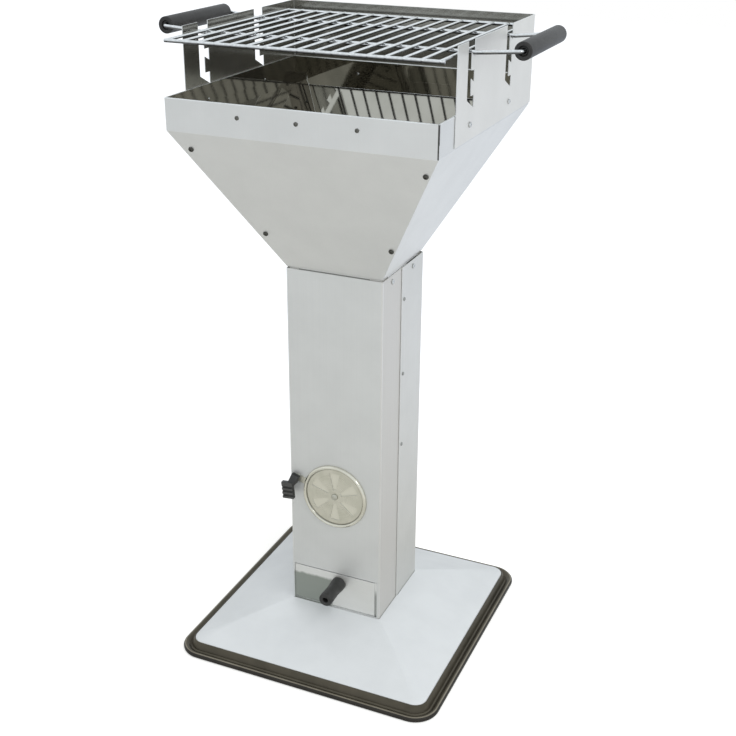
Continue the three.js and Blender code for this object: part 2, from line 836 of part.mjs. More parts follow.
function buildCharcoalGrate() {
  const reach = grateFrameRadius;
  const side = slopeInnerAt(rightLine, grateLevel, reach);
  const front = slopeInnerAt(frontLine, grateLevel, reach);
  const rear = slopeInnerAt(rearLine, grateLevel, reach);
  const flangeRoom = sheet + seamGap;
  const nearFront = front + flangeRoom;
  const nearRear = rear - flangeRoom;
  const path = [];
  const corners = [
    [side, nearFront, -90], [side, nearRear, 0], [-side, nearRear, 90], [-side, nearFront, 180],
  ];
  corners.forEach(([x, y, from]) => {
    const centreX = x - Math.sign(x) * grateCorner;
    const centreY = y === nearFront ? y + grateCorner : y - grateCorner;
    for (let step = 0; step <= bendSteps; step += 1) {
      const turn = THREE.MathUtils.degToRad(from + (step / bendSteps) * 90);
      path.push(new THREE.Vector3(
        centreX + grateCorner * Math.cos(turn), centreY + grateCorner * Math.sin(turn), grateLevel));
    }
  });
  const forms = [solid(wireLoop(path, grateFrameRadius))];
  const pitch = (side * 2) / (grateBarCount + 1);
  for (let i = 1; i <= grateBarCount; i += 1) {
    const x = i * pitch - side;
    const from = new THREE.Vector3(x, nearFront, grateLevel);
    const to = new THREE.Vector3(x, nearRear, grateLevel);
    forms.push(solid(wire(from, to, grateBarRadius)));
  }
  const tieLevel = grateLevel - grateBarRadius * 2 + weldSink;
  for (let i = 1; i <= grateTieCount; i += 1) {
    const y = THREE.MathUtils.lerp(nearFront, nearRear, i / (grateTieCount + 1));
    const end = side - pitch / 2;
    forms.push(solid(wire(
      new THREE.Vector3(-end, y, tieLevel), new THREE.Vector3(end, y, tieLevel), grateBarRadius)));
  }
  addPiece(model, 'charcoal_grate', union(forms), grateFinish);
}

// Ash drawer, its shelf and its handle

function buildAshDrawer() {
  const shelfTop = drawerSill;
  const shelfSide = collarSide;
  const shelfLine = points2([
    [-shelfSide, shelfTop - shelfFlange], [-shelfSide, shelfTop],
    [shelfSide, shelfTop], [shelfSide, shelfTop - shelfFlange],
  ]);
  sheets.drawer_shelf = solid(prismY(stripShape(shelfLine, 0, -sheet), -collarFace, collarFace));

  const drawer = new THREE.Group();
  model.add(drawer);
  const frontBack = -columnFace + sheet;
  const trayFront = frontBack + seamGap;
  const trayRear = trayFront + drawerTrayDepth;
  const trayFoot = shelfTop + seamGap;
  const trayTop = trayFoot + drawerTrayHeight;
  const half = drawerTrayWidth / 2;
  const handleAt = new THREE.Vector3(handleShift, -columnFace, drawerSill + handleAxisHeight);
  const out = new THREE.Vector3(0, -1, 0);
  const hole = handleScrewRadius + shankSlack;

  const outer = solid(block(-half, half, trayFront, trayRear, trayFoot, trayTop));
  const inner = solid(block(-half + sheet, half - sheet, trayFront + sheet, trayRear - sheet,
    trayFoot + sheet, trayTop + cutOverrun));
  const nutRoom = handleNutRadius + seamGap;
  const notch = solid(block(handleShift - nutRoom, handleShift + nutRoom, trayFront - cutOverrun,
    trayFront + cutOverrun, handleAt.z - nutRoom, trayTop + cutOverrun));
  addPiece(drawer, 'ash_drawer_tray', outer.subtract(inner).subtract(notch), sheetFinish);

  const plateLeft = drawerFrontShift - drawerFrontWidth / 2;
  const plateFoot = drawerSill + drawerFrontGap;
  const plateTop = drawerSill + drawerDoorHeight - drawerFrontGap;
  const plate = solid(block(
    plateLeft, plateLeft + drawerFrontWidth, -columnFace, frontBack, plateFoot, plateTop));
  addPiece(drawer, 'ash_drawer_front', drilled(plate, handleAt, out, hole), sheetFinish);

  const rootShare = 0.18;
  const waistShare = 0.45;
  const shoulderShare = 0.8;
  const handle = turned([
    [handleBoreRadius, seamGap],
    [handleRootRadius, seamGap],
    [handleRootRadius, handleLength * rootShare],
    [handleWaistRadius, handleLength * waistShare],
    [handleEndRadius, handleLength * shoulderShare],
    [handleEndRadius, handleLength - gripEdge],
    [handleEndRadius - gripEdge, handleLength],
    [handleSocketRadius, handleLength],
    [handleSocketRadius, handleLength - handleSocketDepth],
    [handleBoreRadius, handleLength - handleSocketDepth],
    [handleBoreRadius, seamGap],
  ], roundSides * 2);
  const screwSeat = handleLength - handleSocketDepth + seamGap;
  const screwEnd = -sheet - seamGap * 2 - handleNutHeight;
  const screw = turned([
    [0, screwEnd],
    [handleScrewRadius, screwEnd],
    [handleScrewRadius, screwSeat],
    [handleScrewHeadRadius, screwSeat],
    [handleScrewHeadRadius, screwSeat + handleScrewHeadHeight],
    [0, screwSeat + handleScrewHeadHeight],
  ], roundSides);
  const nutFace = -sheet - seamGap;
  const nutBore = handleScrewRadius + seamGap;
  const nut = turned([
    [nutBore, nutFace - handleNutHeight],
    [handleNutRadius, nutFace - handleNutHeight],
    [handleNutRadius, nutFace],
    [nutBore, nutFace],
    [nutBore, nutFace - handleNutHeight],
  ], wireSides);
  const onFront = new THREE.Group();
  onFront.position.copy(handleAt);
  onFront.quaternion.setFromUnitVectors(new THREE.Vector3(0, 1, 0), out);
  drawer.add(onFront);
  addPiece(onFront, 'drawer_handle', handle, plasticFinish);
  addPiece(onFront, 'drawer_handle_screw', screw, screwFinish);
  addPiece(onFront, 'drawer_handle_nut', nut, screwFinish);
}

// Rotary air disc: turning it by half a window pitch lines its windows up with those of the column

function buildAirDisc() {
  const vent = new THREE.Group();
  vent.position.set(0, -columnFace - seamGap, ventHeight);
  vent.quaternion.setFromUnitVectors(new THREE.Vector3(0, 1, 0), new THREE.Vector3(0, -1, 0));
  model.add(vent);

  const flat = discRadius - beadWidth;
  const crown = flat + beadWidth / 2;
  const rollShare = 0.25;
  const roll = beadWidth * rollShare;
  const hole = pivotRadius + shankSlack;
  const skin = turned([
    [hole, 0],
    [flat, 0],
    [flat + roll, beadRise - discSheet],
    [crown, beadRise],
    [discRadius - roll, beadRise - discSheet],
    [discRadius - discSheet, 0],
    [discRadius, 0],
    [discRadius, beadRise - discSheet],
    [discRadius - roll, beadRise],
    [crown, beadRise + discSheet],
    [flat + roll, beadRise],
    [flat, discSheet],
    [hole, discSheet],
    [hole, 0],
  ], turnedSides);
  // Local axes: X to the left of the viewer, Y out of the face, Z up
  const armTurn = THREE.MathUtils.degToRad(180 - armAngle);
  const armShape = new THREE.Shape();
  const armHalf = armWidth / 2;
  armShape.moveTo(discRadius - armLap, -armHalf);
  armShape.lineTo(armReach, -armHalf);
  armShape.absarc(armReach, 0, armHalf, -Math.PI / 2, Math.PI / 2, false);
  armShape.lineTo(discRadius - armLap, armHalf);
  const spigotHole = new THREE.Path();
  spigotHole.absarc(armReach, 0, knobSpigotRadius + shankSlack, 0, Math.PI * 2, true);
  armShape.holes.push(spigotHole);
  const toFace = new THREE.Matrix4().makeRotationX(-Math.PI / 2);
  const arm = prism(armShape, 0, discSheet).applyMatrix4(toFace).rotateY(-armTurn);
  let disc = solid(skin).add(solid(arm));
  ventWindows(windowInner, windowOuter, windowGuide).forEach((shape) => {
    disc = disc.subtract(solid(prism(shape, -cutOverrun, cutOverrun).applyMatrix4(toFace)));
  });
  addPiece(vent, 'air_disc', disc, discFinish);

  const pivotTop = discSheet + seamGap;
  const pivotEnd = -seamGap - sheet - seamGap;
  const tailShare = 0.8;
  const domeShare = 0.7;
  const pivot = turned([
    [0, pivotEnd - pivotHeadHeight],
    [pivotHeadRadius * tailShare, pivotEnd - pivotHeadHeight],
    [pivotHeadRadius * tailShare, pivotEnd],
    [pivotRadius, pivotEnd],
    [pivotRadius, pivotTop],
    [pivotHeadRadius, pivotTop],
    [pivotHeadRadius * domeShare, pivotTop + pivotHeadHeight],
    [0, pivotTop + pivotHeadHeight],
  ], roundSides);
  addPiece(vent, 'air_disc_pivot', pivot, discFinish);

  const bossX = armReach * Math.cos(armTurn);
  const bossZ = armReach * Math.sin(armTurn);
  const bossFoot = discSheet + seamGap;
  const bossMiddle = bossFoot + knobBossHeight / 2;
  const spigot = turned([
    [0, -seamGap / 2],
    [knobSpigotRadius, -seamGap / 2],
    [knobSpigotRadius, bossMiddle],
    [0, bossMiddle],
  ], roundSides).translate(bossX, 0, bossZ);
  const bossSlab = (bottom, height) => new THREE.BoxGeometry(knobBossLength, height, knobBossWidth)
    .translate(armReach + knobBossShift, bottom + height / 2, 0)
    .rotateY(-armTurn);

  const faceBack = bossFoot + knobStandoff;
  const faceFront = faceBack + knobDepth;
  const middleX = bossX - knobShift;
  const middleZ = bossZ - knobDrop;
  const left = -knobWidth / 2;
  const top = knobHeight / 2;
  const tilted = (form) => form.rotateY(THREE.MathUtils.degToRad(knobTilt)).translate(middleX, 0, middleZ);
  const ribPitch = knobHeight / knobRibCount;
  const profile = [[faceBack, top], [faceBack, top - knobHeight]];
  for (let i = knobRibCount; i > 0; i -= 1) {
    const base = top - i * ribPitch;
    const crest = base + ribPitch * knobRibShare;
    profile.push([faceFront, base], [faceFront, crest]);
    if (i > 1) {
      profile.push([faceFront - knobRibDepth, crest], [faceFront - knobRibDepth, base + ribPitch]);
    } else {
      profile.push([faceFront, top]);
    }
  }
  const body = tilted(prismX(new THREE.Shape(points2(profile)), left, left + knobWidth));
  const neckHeight = knobBossHeight * knobNeckShare;
  const neckFoot = tilted(prismX(new THREE.Shape(points2([
    [faceBack, top],
    [faceBack, top - knobNeckHeight],
    [faceBack + knobNeckDepth, top - knobNeckHeight],
    [faceBack + knobNeckDepth, top],
  ])), left, left + knobWidth));
  const neck = solid(bossSlab(bossFoot + knobBossHeight - neckHeight, neckHeight))
    .add(solid(neckFoot))
    .hull();
  const knob = union([solid(spigot), solid(bossSlab(bossFoot, knobBossHeight)), solid(body), neck]);
  addPiece(vent, 'air_knob', knob, plasticFinish);
}

buildBase();
buildColumn();
frontAndRearWalls();
sideWalls();
bandRivets();
buildGuards();
cornerScrews();
guardScrews();
columnFasteners();
skirtScrews();
buildAshDrawer();

Object.entries(sheets).forEach(([name, form]) => addPiece(model, name, form, sheetFinish));

buildCookingGrid();
buildCharcoalGrate();
buildAirDisc();

export default model;
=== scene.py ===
"""Pedestal charcoal grill of folded stainless sheet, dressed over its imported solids.

Sizes are in millimetres and are turned into metres where a mesh is made. +Z is up, the front
faces -Y, and the origin lies on the floor under the middle of the base, as in the solids.
"""

from collections.abc import Callable, Iterable, Sequence
from dataclasses import dataclass, field
from enum import Enum
import logging
import math

import bmesh
import bpy
from mathutils import Matrix, Vector


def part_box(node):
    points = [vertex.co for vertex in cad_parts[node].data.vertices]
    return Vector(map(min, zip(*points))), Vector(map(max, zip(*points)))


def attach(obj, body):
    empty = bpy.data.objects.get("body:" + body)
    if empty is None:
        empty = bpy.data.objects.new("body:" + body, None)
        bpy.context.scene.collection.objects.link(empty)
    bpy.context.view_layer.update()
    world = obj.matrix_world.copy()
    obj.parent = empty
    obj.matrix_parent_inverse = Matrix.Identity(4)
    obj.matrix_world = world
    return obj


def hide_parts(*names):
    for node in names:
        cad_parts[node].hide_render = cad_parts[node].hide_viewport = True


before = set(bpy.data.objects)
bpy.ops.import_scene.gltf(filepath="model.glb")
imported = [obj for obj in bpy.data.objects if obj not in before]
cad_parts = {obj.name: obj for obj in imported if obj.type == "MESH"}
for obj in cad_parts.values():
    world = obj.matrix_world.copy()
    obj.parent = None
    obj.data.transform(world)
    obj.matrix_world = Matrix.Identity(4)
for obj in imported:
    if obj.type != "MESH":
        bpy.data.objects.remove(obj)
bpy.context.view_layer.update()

log = logging.getLogger("grill")

MM = 0.001


class Slot(str, Enum):
    """Material slots of the record."""

    SHEET = "sheet_steel"
    RIM = "rim_steel"
    WIRE = "wire_steel"
    GRATE = "grate_steel"
    DISC = "disc_steel"
    FASTENER = "fastener_steel"
    PLASTIC = "black_plastic"


class Body(str, Enum):
    """Bodies of the frame that pieces ride on."""

    GRILL = "grill_body"
    DRAWER = "ash_drawer"
    DAMPER = "air_damper"
    GRID = "cooking_grid"
    GRATE = "charcoal_grate"


class Axis(Enum):
    """Direction along which a sheet was rolled."""

    ACROSS = 0
    UP = 2


def linear(code: str) -> tuple[float, float, float, float]:
    """Turns an sRGB hex colour into the linear colour that a shader takes.

    Args:
        code: Six hex digits, red first.

    Returns:
        Linear red, green and blue, and an alpha of one.
    """
    shares = [int(code[i:i + 2], 16) / 255 for i in (0, 2, 4)]
    red, green, blue = (
        s / 12.92 if s <= 0.04045 else ((s + 0.055) / 1.055) ** 2.4 for s in shares)
    return red, green, blue, 1.0


def add_node(tree: bpy.types.NodeTree, kind: str, inputs: dict | None = None,
             **settings: object) -> bpy.types.Node:
    """Adds a shader node, sets it up and feeds its sockets.

    Args:
        tree: Node tree of a material or of the world.
        kind: Blender's name of the node without its ShaderNode prefix.
        inputs: Socket names or numbers against constants or other nodes' outputs.
        **settings: Properties of the node itself.

    Returns:
        The new node.
    """
    made = tree.nodes.new("ShaderNode" + kind)
    for key, value in settings.items():
        setattr(made, key, value)
    for key, value in (inputs or {}).items():
        if isinstance(value, bpy.types.NodeSocket):
            tree.links.new(value, made.inputs[key])
        else:
            made.inputs[key].default_value = value
    return made


# Finishes


def linked(name: str, data: bpy.types.ID) -> bpy.types.Object:
    """Makes an object and links it to the scene.

    Args:
        name: Name of the object.
        data: Its mesh, camera or light.

    Returns:
        The object.
    """
    made = bpy.data.objects.new(name, data)
    bpy.context.scene.collection.objects.link(made)
    return made


def cleared(owner: bpy.types.Material | bpy.types.World) -> bpy.types.NodeTree:
    """Switches on the nodes of a material or a world and takes out the ones it came with.

    Args:
        owner: The material or the world.

    Returns:
        Its empty node tree.
    """
    owner.use_nodes = True
    owner.node_tree.nodes.clear()
    return owner.node_tree


@dataclass(frozen=True)
class Finish:
    """A finish, made into one Blender material the first time a piece wears it.

    Attributes:
        name: Name of the material.
        pale: The lighter of the two sRGB tones that it clouds between.
        deep: The darker one.
        roughness: Middle value of its roughness.
    """

    name: str
    pale: str
    deep: str
    roughness: float

    def material(self) -> bpy.types.Material:
        """Makes the material, or finds the one that was made before.

        Returns:
            The material.
        """
        found = bpy.data.materials.get(self.name)
        if found is not None:
            return found
        made = bpy.data.materials.new(self.name)
        tree = cleared(made)
        add_node(tree, "OutputMaterial", {"Surface": self.shade(tree)})
        return made

    def shade(self, tree: bpy.types.NodeTree) -> bpy.types.NodeSocket:
        """Adds the nodes of the surface and gives back its shader output."""
        raise NotImplementedError

    def clouded(self, tree: bpy.types.NodeTree, noise: bpy.types.Node) -> bpy.types.NodeSocket:
        """Adds the nodes that cloud the surface between its two tones.

        Args:
            tree: Node tree of the material.
            noise: The noise that the clouds follow.

        Returns:
            The colour.
        """
        share = add_node(tree, "MapRange", {
            "Value": noise.outputs[0], 1: 0.35, 2: 0.65, 3: 0.0, 4: 1.0})
        return add_node(tree, "Mix", {
            0: share.outputs[0], 6: linear(self.deep), 7: linear(self.pale)},
            data_type="RGBA").outputs[2]

    def surface(self, tree: bpy.types.NodeTree, colour: bpy.types.NodeSocket,
                noise: bpy.types.Node, spread: tuple[float, float], relief: bpy.types.Node,
                sockets: dict[str, float],
                reach: tuple[float, float] = (0.3, 0.7)) -> bpy.types.NodeSocket:
        """Adds the shader, with a roughness that strays from its middle value.

        Args:
            tree: Node tree of the material.
            colour: Its colour.
            noise: The noise that the roughness follows.
            spread: Lowest and highest roughness, as shares of the middle value.
            relief: Bump node of its finest relief.
            sockets: Constants of the shader's other sockets.
            reach: Values of the noise that give the lowest and the highest roughness.

        Returns:
            The shader output.
        """
        gloss = add_node(tree, "MapRange", {
            "Value": noise.outputs[0], 1: reach[0], 2: reach[1],
            3: self.roughness * spread[0], 4: self.roughness * spread[1]})
        return add_node(tree, "BsdfPrincipled", {
            "Base Color": colour, "Roughness": gloss.outputs[0], "Normal": relief.outputs[0],
            **sockets}).outputs[0]


@dataclass(frozen=True)
class TintAndShadePatch:
    """A soft-edged patch of another colour laid over a sheet. The script uses it for a warm tint
    behind the disc, a darker tone on the column's sides, painted shade in gaps and recesses, and a
    painted reflection on the drawer.

    Attributes:
        colour: Its sRGB colour.
        low: Lowest corner of the box that it fills, or its middle where it is round.
        high: Highest corner of that box.
        blur: Half the width of its soft edge.
        ragged: How far its edge strays.
        radius: Its radius in the sheet's plane where it is round, else 0.
        stray_pitch: Size of the patches in which its edge strays.
    """

    colour: str
    low: tuple[float, float, float]
    high: tuple[float, float, float] = (0.0, 0.0, 0.0)
    blur: float = 2.0
    ragged: float = 1.6
    radius: float = 0.0
    stray_pitch: float = 9.0

    def cover(self, tree: bpy.types.NodeTree,
              place: bpy.types.NodeSocket) -> bpy.types.NodeSocket:
        """Adds the nodes that tell how much of the patch lies on a point.

        Args:
            tree: Node tree of the material.
            place: Point on the sheet.

        Returns:
            The share, from 0 to 1.
        """
        noise = add_node(tree, "TexNoise", {
            "Vector": place, "Scale": 1 / (self.stray_pitch * MM), "Detail": 3.0})
        stray = add_node(tree, "MapRange", {
            "Value": noise.outputs[0], 1: 0.2, 2: 0.8,
            3: -self.ragged * MM, 4: self.ragged * MM})
        point = add_node(tree, "VectorMath", {
            0: place, 1: stray.outputs[0]}, operation="ADD").outputs[0]
        if self.radius:
            offset = add_node(tree, "VectorMath", {
                0: point, 1: tuple(c * MM for c in self.low)}, operation="SUBTRACT")
            reach = add_node(tree, "VectorMath", {0: offset.outputs[0]}, operation="LENGTH")
            return self.edge(tree, reach.outputs["Value"], self.radius, -1)
        parts = add_node(tree, "SeparateXYZ", {0: point}).outputs
        edges = [self.edge(tree, parts[i], limit, way)
                 for way, corner in ((1, self.low), (-1, self.high))
                 for i, limit in enumerate(corner)]
        share = edges[0]
        for other in edges[1:]:
            share = add_node(tree, "Math", {0: share, 1: other}, operation="MULTIPLY").outputs[0]
        return share

    def edge(self, tree: bpy.types.NodeTree, value: bpy.types.NodeSocket, limit: float,
             way: int) -> bpy.types.NodeSocket:
        """Adds a soft step at a limit.

        Args:
            tree: Node tree of the material.
            value: The measure that is compared.
            limit: The limit, in millimetres.
            way: 1 where the patch lies above the limit, -1 where it lies below it.

        Returns:
            The share, from 0 to 1.
        """
        return add_node(tree, "MapRange", {
            "Value": value, 1: (limit - self.blur) * MM, 2: (limit + self.blur) * MM,
            3: 0.0 if way > 0 else 1.0, 4: 1.0 if way > 0 else 0.0}).outputs[0]


@dataclass(frozen=True)
class RolledSheet(Finish):
    """Stainless sheet, cold rolled and bright annealed.

    To the eye it is a pale grey that takes the colour of what stands round it, blurred on a
    satin face and sharp on a bright one. Faint lines run in the rolling direction, and the
    panels are not quite flat, so reflections bend a little.
    """

    rolled: Axis = Axis.UP
    line_pitch: float = 1.6    # real lines lie some 0.05 mm apart, drawn coarser so that they show
    line_length: float = 260.0
    line_height: float = 0.0012
    cloud_pitch: float = 60.0
    wave_pitch: float = 170.0
    wave_height: float = 0.12
    metallic: float = 1.0
    tint_patches: tuple[TintAndShadePatch, ...] = ()

    def shade(self, tree: bpy.types.NodeTree) -> bpy.types.NodeSocket:
        """Adds the nodes of the sheet.

        Args:
            tree: Node tree of the material.

        Returns:
            The shader output.
        """
        place = add_node(tree, "TexCoord").outputs["Object"]
        across = 1 / (self.line_pitch * MM)
        along = 1 / (self.line_length * MM)
        scale = [across, across, across]
        scale[self.rolled.value] = along
        grain = add_node(tree, "TexNoise", {
            "Vector": add_node(tree, "Mapping", {"Vector": place, "Scale": scale}).outputs[0],
            "Scale": 1.0, "Detail": 2.0, "Roughness": 0.6})
        wave = add_node(tree, "TexNoise", {
            "Vector": place, "Scale": 1 / (self.wave_pitch * MM), "Detail": 0.5})
        cloud = add_node(tree, "TexNoise", {
            "Vector": place, "Scale": 1 / (self.cloud_pitch * MM), "Detail": 3.0,
            "Roughness": 0.55})
        colour = self.clouded(tree, cloud)
        for tint_patch in self.tint_patches:
            colour = add_node(tree, "Mix", {
                0: tint_patch.cover(tree, place), 6: colour, 7: linear(tint_patch.colour)},
                data_type="RGBA").outputs[2]
        waves = add_node(tree, "Bump", {
            "Height": wave.outputs[0], "Distance": self.wave_height * MM, "Strength": 1.0})
        lines = add_node(tree, "Bump", {
            "Height": grain.outputs[0], "Distance": self.line_height * MM, "Strength": 1.0,
            "Normal": waves.outputs[0]})
        return self.surface(tree, colour, grain, (0.88, 1.12), lines,
                            {"Metallic": self.metallic}, reach=(0.25, 0.75))


@dataclass(frozen=True)
class SpunSheet(Finish):
    """Stainless blank, spun and polished on a lathe.

    To the eye it is a warm grey disc with fine rings round its middle, and a darker line
    painted as shade in the crease at the inner foot of its bead.
    """

    centre: tuple[float, float, float]
    ring_pitch: float = 1.3    # real rings lie some 0.2 mm apart, drawn coarser so that they show
    ring_height: float = 0.02
    cloud_pitch: float = 18.0
    foot_shade: str = "929087"
    foot_shade_radius: float = 44.3
    foot_shade_width: float = 1.3

    def shade(self, tree: bpy.types.NodeTree) -> bpy.types.NodeSocket:
        """Adds the nodes of the spun sheet.

        Args:
            tree: Node tree of the material.

        Returns:
            The shader output.
        """
        place = add_node(tree, "TexCoord").outputs["Object"]
        middle = add_node(tree, "VectorMath", {
            0: place, 1: tuple(c * MM for c in self.centre)}, operation="SUBTRACT")
        flat = add_node(tree, "VectorMath", {
            0: middle.outputs[0], 1: (1.0, 0.0, 1.0)}, operation="MULTIPLY")
        reach = add_node(tree, "VectorMath", {0: flat.outputs[0]}, operation="LENGTH")
        rings = add_node(tree, "TexNoise", {
            "W": reach.outputs["Value"], "Scale": 1 / (self.ring_pitch * MM), "Detail": 2.0},
            noise_dimensions="1D")
        cloud = add_node(tree, "TexNoise", {
            "Vector": place, "Scale": 1 / (self.cloud_pitch * MM), "Detail": 2.0})
        # Painted shade: a darker ring in the crease at the inner foot of the bead.
        away = add_node(tree, "Math", {
            0: reach.outputs["Value"], 1: self.foot_shade_radius * MM}, operation="SUBTRACT")
        off = add_node(tree, "Math", {0: away.outputs[0]}, operation="ABSOLUTE")
        share = add_node(tree, "MapRange", {
            "Value": off.outputs[0], 1: 0.0, 2: self.foot_shade_width * MM, 3: 1.0, 4: 0.0})
        colour = add_node(tree, "Mix", {
            0: share.outputs[0], 6: self.clouded(tree, cloud), 7: linear(self.foot_shade)},
            data_type="RGBA")
        bump = add_node(tree, "Bump", {
            "Height": rings.outputs[0], "Distance": self.ring_height * MM, "Strength": 1.0})
        return self.surface(
            tree, colour.outputs[2], rings, (0.8, 1.2), bump, {"Metallic": 1.0})


@dataclass(frozen=True)
class DrawnWire(Finish):
    """Steel wire, drawn and then plated bright.

    To the eye it is a thin bright line; faint pits break the highlight. Where it has an
    underside shade colour, its sides and underside are painted darker as shade, by the rise of
    its normal, and its top keeps the bright colour.
    """

    pit_pitch: float = 3.0
    pit_depth: float = 0.012
    underside_shade: str = ""
    underside_shade_reach: tuple[float, float] = (-0.35, 0.3)    # rise of the normal, from painted shade to the bright colour

    def shade(self, tree: bpy.types.NodeTree) -> bpy.types.NodeSocket:
        """Adds the nodes of the wire.

        Args:
            tree: Node tree of the material.

        Returns:
            The shader output.
        """
        place = add_node(tree, "TexCoord").outputs["Object"]
        pits = add_node(tree, "TexNoise", {
            "Vector": place, "Scale": 1 / (self.pit_pitch * MM), "Detail": 3.0})
        colour = self.clouded(tree, pits)
        # Painted shade: the sides and underside turn darker as the normal turns down.
        if self.underside_shade:
            normal = add_node(tree, "NewGeometry").outputs["Normal"]
            rise = add_node(tree, "SeparateXYZ", {0: normal}).outputs[2]
            shade_rise, bright = self.underside_shade_reach
            top = add_node(tree, "MapRange", {"Value": rise, 1: shade_rise, 2: bright, 3: 0.0, 4: 1.0})
            colour = add_node(tree, "Mix", {
                0: top.outputs[0], 6: linear(self.underside_shade), 7: colour},
                data_type="RGBA").outputs[2]
        bump = add_node(tree, "Bump", {
            "Height": pits.outputs[0], "Distance": self.pit_depth * MM, "Strength": 1.0})
        return self.surface(tree, colour, pits, (0.8, 1.3), bump, {"Metallic": 1.0})


@dataclass(frozen=True)
class LacqueredTrim(Finish):
    """Roll-formed steel trim, dark brown and lacquered.

    To the eye it is a dark brown metal. The rim wears three copies of it: a bronze line on the
    bead's crest, which is a painted highlight, and a darker bead face, which is painted shade.
    """

    cloud_pitch: float = 35.0
    peel_pitch: float = 2.2
    peel_height: float = 0.02

    def shade(self, tree: bpy.types.NodeTree) -> bpy.types.NodeSocket:
        """Adds the nodes of the trim.

        Args:
            tree: Node tree of the material.

        Returns:
            The shader output.
        """
        place = add_node(tree, "TexCoord").outputs["Object"]
        cloud = add_node(tree, "TexNoise", {
            "Vector": place, "Scale": 1 / (self.cloud_pitch * MM), "Detail": 4.0})
        peel = add_node(tree, "TexNoise", {
            "Vector": place, "Scale": 1 / (self.peel_pitch * MM), "Detail": 1.0})
        bump = add_node(tree, "Bump", {
            "Height": peel.outputs[0], "Distance": self.peel_height * MM, "Strength": 1.0})
        return self.surface(
            tree, self.clouded(tree, cloud), cloud, (0.85, 1.2), bump,
            {"Metallic": 0.85, "Coat Weight": 0.25, "Coat Roughness": 0.2})


@dataclass(frozen=True)
class MouldedPlastic(Finish):
    """Black phenolic plastic, moulded in a lightly spark-eroded tool.

    To the eye it is a soft black with a broad, dull highlight and a very fine grain.
    """

    grain_pitch: float = 1.1    # the tool's real grain is some 0.1 mm, drawn coarser to show
    grain_height: float = 0.05
    cloud_pitch: float = 14.0

    def shade(self, tree: bpy.types.NodeTree) -> bpy.types.NodeSocket:
        """Adds the nodes of the plastic.

        Args:
            tree: Node tree of the material.

        Returns:
            The shader output.
        """
        place = add_node(tree, "TexCoord").outputs["Object"]
        grain = add_node(tree, "TexNoise", {
            "Vector": place, "Scale": 1 / (self.grain_pitch * MM), "Detail": 2.0})
        cloud = add_node(tree, "TexNoise", {
            "Vector": place, "Scale": 1 / (self.cloud_pitch * MM), "Detail": 3.0})
        bump = add_node(tree, "Bump", {
            "Height": grain.outputs[0], "Distance": self.grain_height * MM, "Strength": 1.0})
        return self.surface(
            tree, self.clouded(tree, cloud), grain, (0.85, 1.15), bump, {"IOR": 1.52})


DISC_AT = (0.0, -71.5, 247.5)    # middle of the air disc's back
# Dark patch over the lower left of the drawer front and the column face beside it: a painted
# reflection.
DRAWER_PAINTED_REFLECTION = TintAndShadePatch("959A93", (-80.0, -80.0, 20.0), (-6.0, -60.0, 103.0))
OUTER_SHEET = RolledSheet("stainless_sheet_satin_outside", "E4E4E2", "E0E0DE", 0.46)
# A darker tone over the column's two side faces.
SIDE_FACE_TONES = (
    TintAndShadePatch("D0CECA", (69.6, -80.0, 0.0), (80.0, 0.0, 600.0), 1.4, 0.0),
    TintAndShadePatch("D0CECA", (-80.0, -80.0, 0.0), (-69.6, 0.0, 600.0), 1.4, 0.0))
# Front channel: the same sheet, less metallic and painted darker as shade on the column's front,
# carrying the painted reflection, a warm tint behind the disc and the darker side tones.
COLUMN_SHEET = RolledSheet(
    "stainless_sheet_satin_vent_side", "D7D8D6", "D3D4D2", 0.5, metallic=0.7,
    tint_patches=(DRAWER_PAINTED_REFLECTION, TintAndShadePatch("DAD7C8", DISC_AT, radius=46.0), *SIDE_FACE_TONES))
# Rear channel: the same sheet painted a little darker, as shade on the column's sides.
REAR_SHEET = RolledSheet("stainless_sheet_satin_rear_channel", "DEDDD9", "DAD9D5", 0.48)
# Front wall: two patches of painted shade, a dark line at the right end of its band where the seam's
# gap lies, and a grey band on its tab under the funnel's lower edge.
BAND_SHEET = RolledSheet(
    "stainless_sheet_satin_seam_painted_shade", "E4E4E2", "E0E0DE", 0.46,
    tint_patches=(TintAndShadePatch("4A4844", (178.3, -190.0, 781.0), (200.0, -150.0, 840.0), 0.3, 0.0),
            TintAndShadePatch("8F8F8B", (-62.0, -73.0, 550.0), (62.0, -60.0, 587.0), 0.3, 0.0)))
COLLAR_SHEET = RolledSheet(
    "stainless_sheet_collar_ring", "DCDCD8", "D2D2CE", 0.4, rolled=Axis.ACROSS, metallic=0.3)
DRAWER_SHEET = RolledSheet(
    "stainless_sheet_satin_drawer", "E2E2DF", "DCDCD8", 0.42, rolled=Axis.ACROSS, metallic=0.7,
    tint_patches=(DRAWER_PAINTED_REFLECTION,))
# Stiffeners: painted darker below the handle's height, as shade in the gap beside the drawer front.
STIFFENER_SHEET = RolledSheet(
    "stainless_sheet_stiffener_painted_shade", "E8E9E6", "DEDFDC", 0.45, metallic=0.3,
    tint_patches=(TintAndShadePatch("9EA09C", (-80.0, -80.0, 20.0), (80.0, -50.0, 99.0), 6.0),))
# Wind guards: the same sheet painted a little lighter and warmer, as light on the guards.
GUARD_SHEET = RolledSheet("stainless_sheet_satin_guard", "EBE9E4", "E7E5E0", 0.46)
# Zinc skin with a matt finish: it scatters light, so it is pale all over and mirrors little
SKIRT_SHEET = RolledSheet(
    "zinc_coated_sheet_matt_foot", "D9DDDF", "D4D8DA", 0.55, rolled=Axis.ACROSS, metallic=0.2)
# Inside faces of the column, the drawer and the funnel's rear wall: bright, nearly mirror-smooth
# steel, painted darker than the outside as shade.
LINING_SHEET = RolledSheet(
    "stainless_sheet_bright_inside", "B4B2A9", "AAA89E", 0.045, wave_height=0.5)
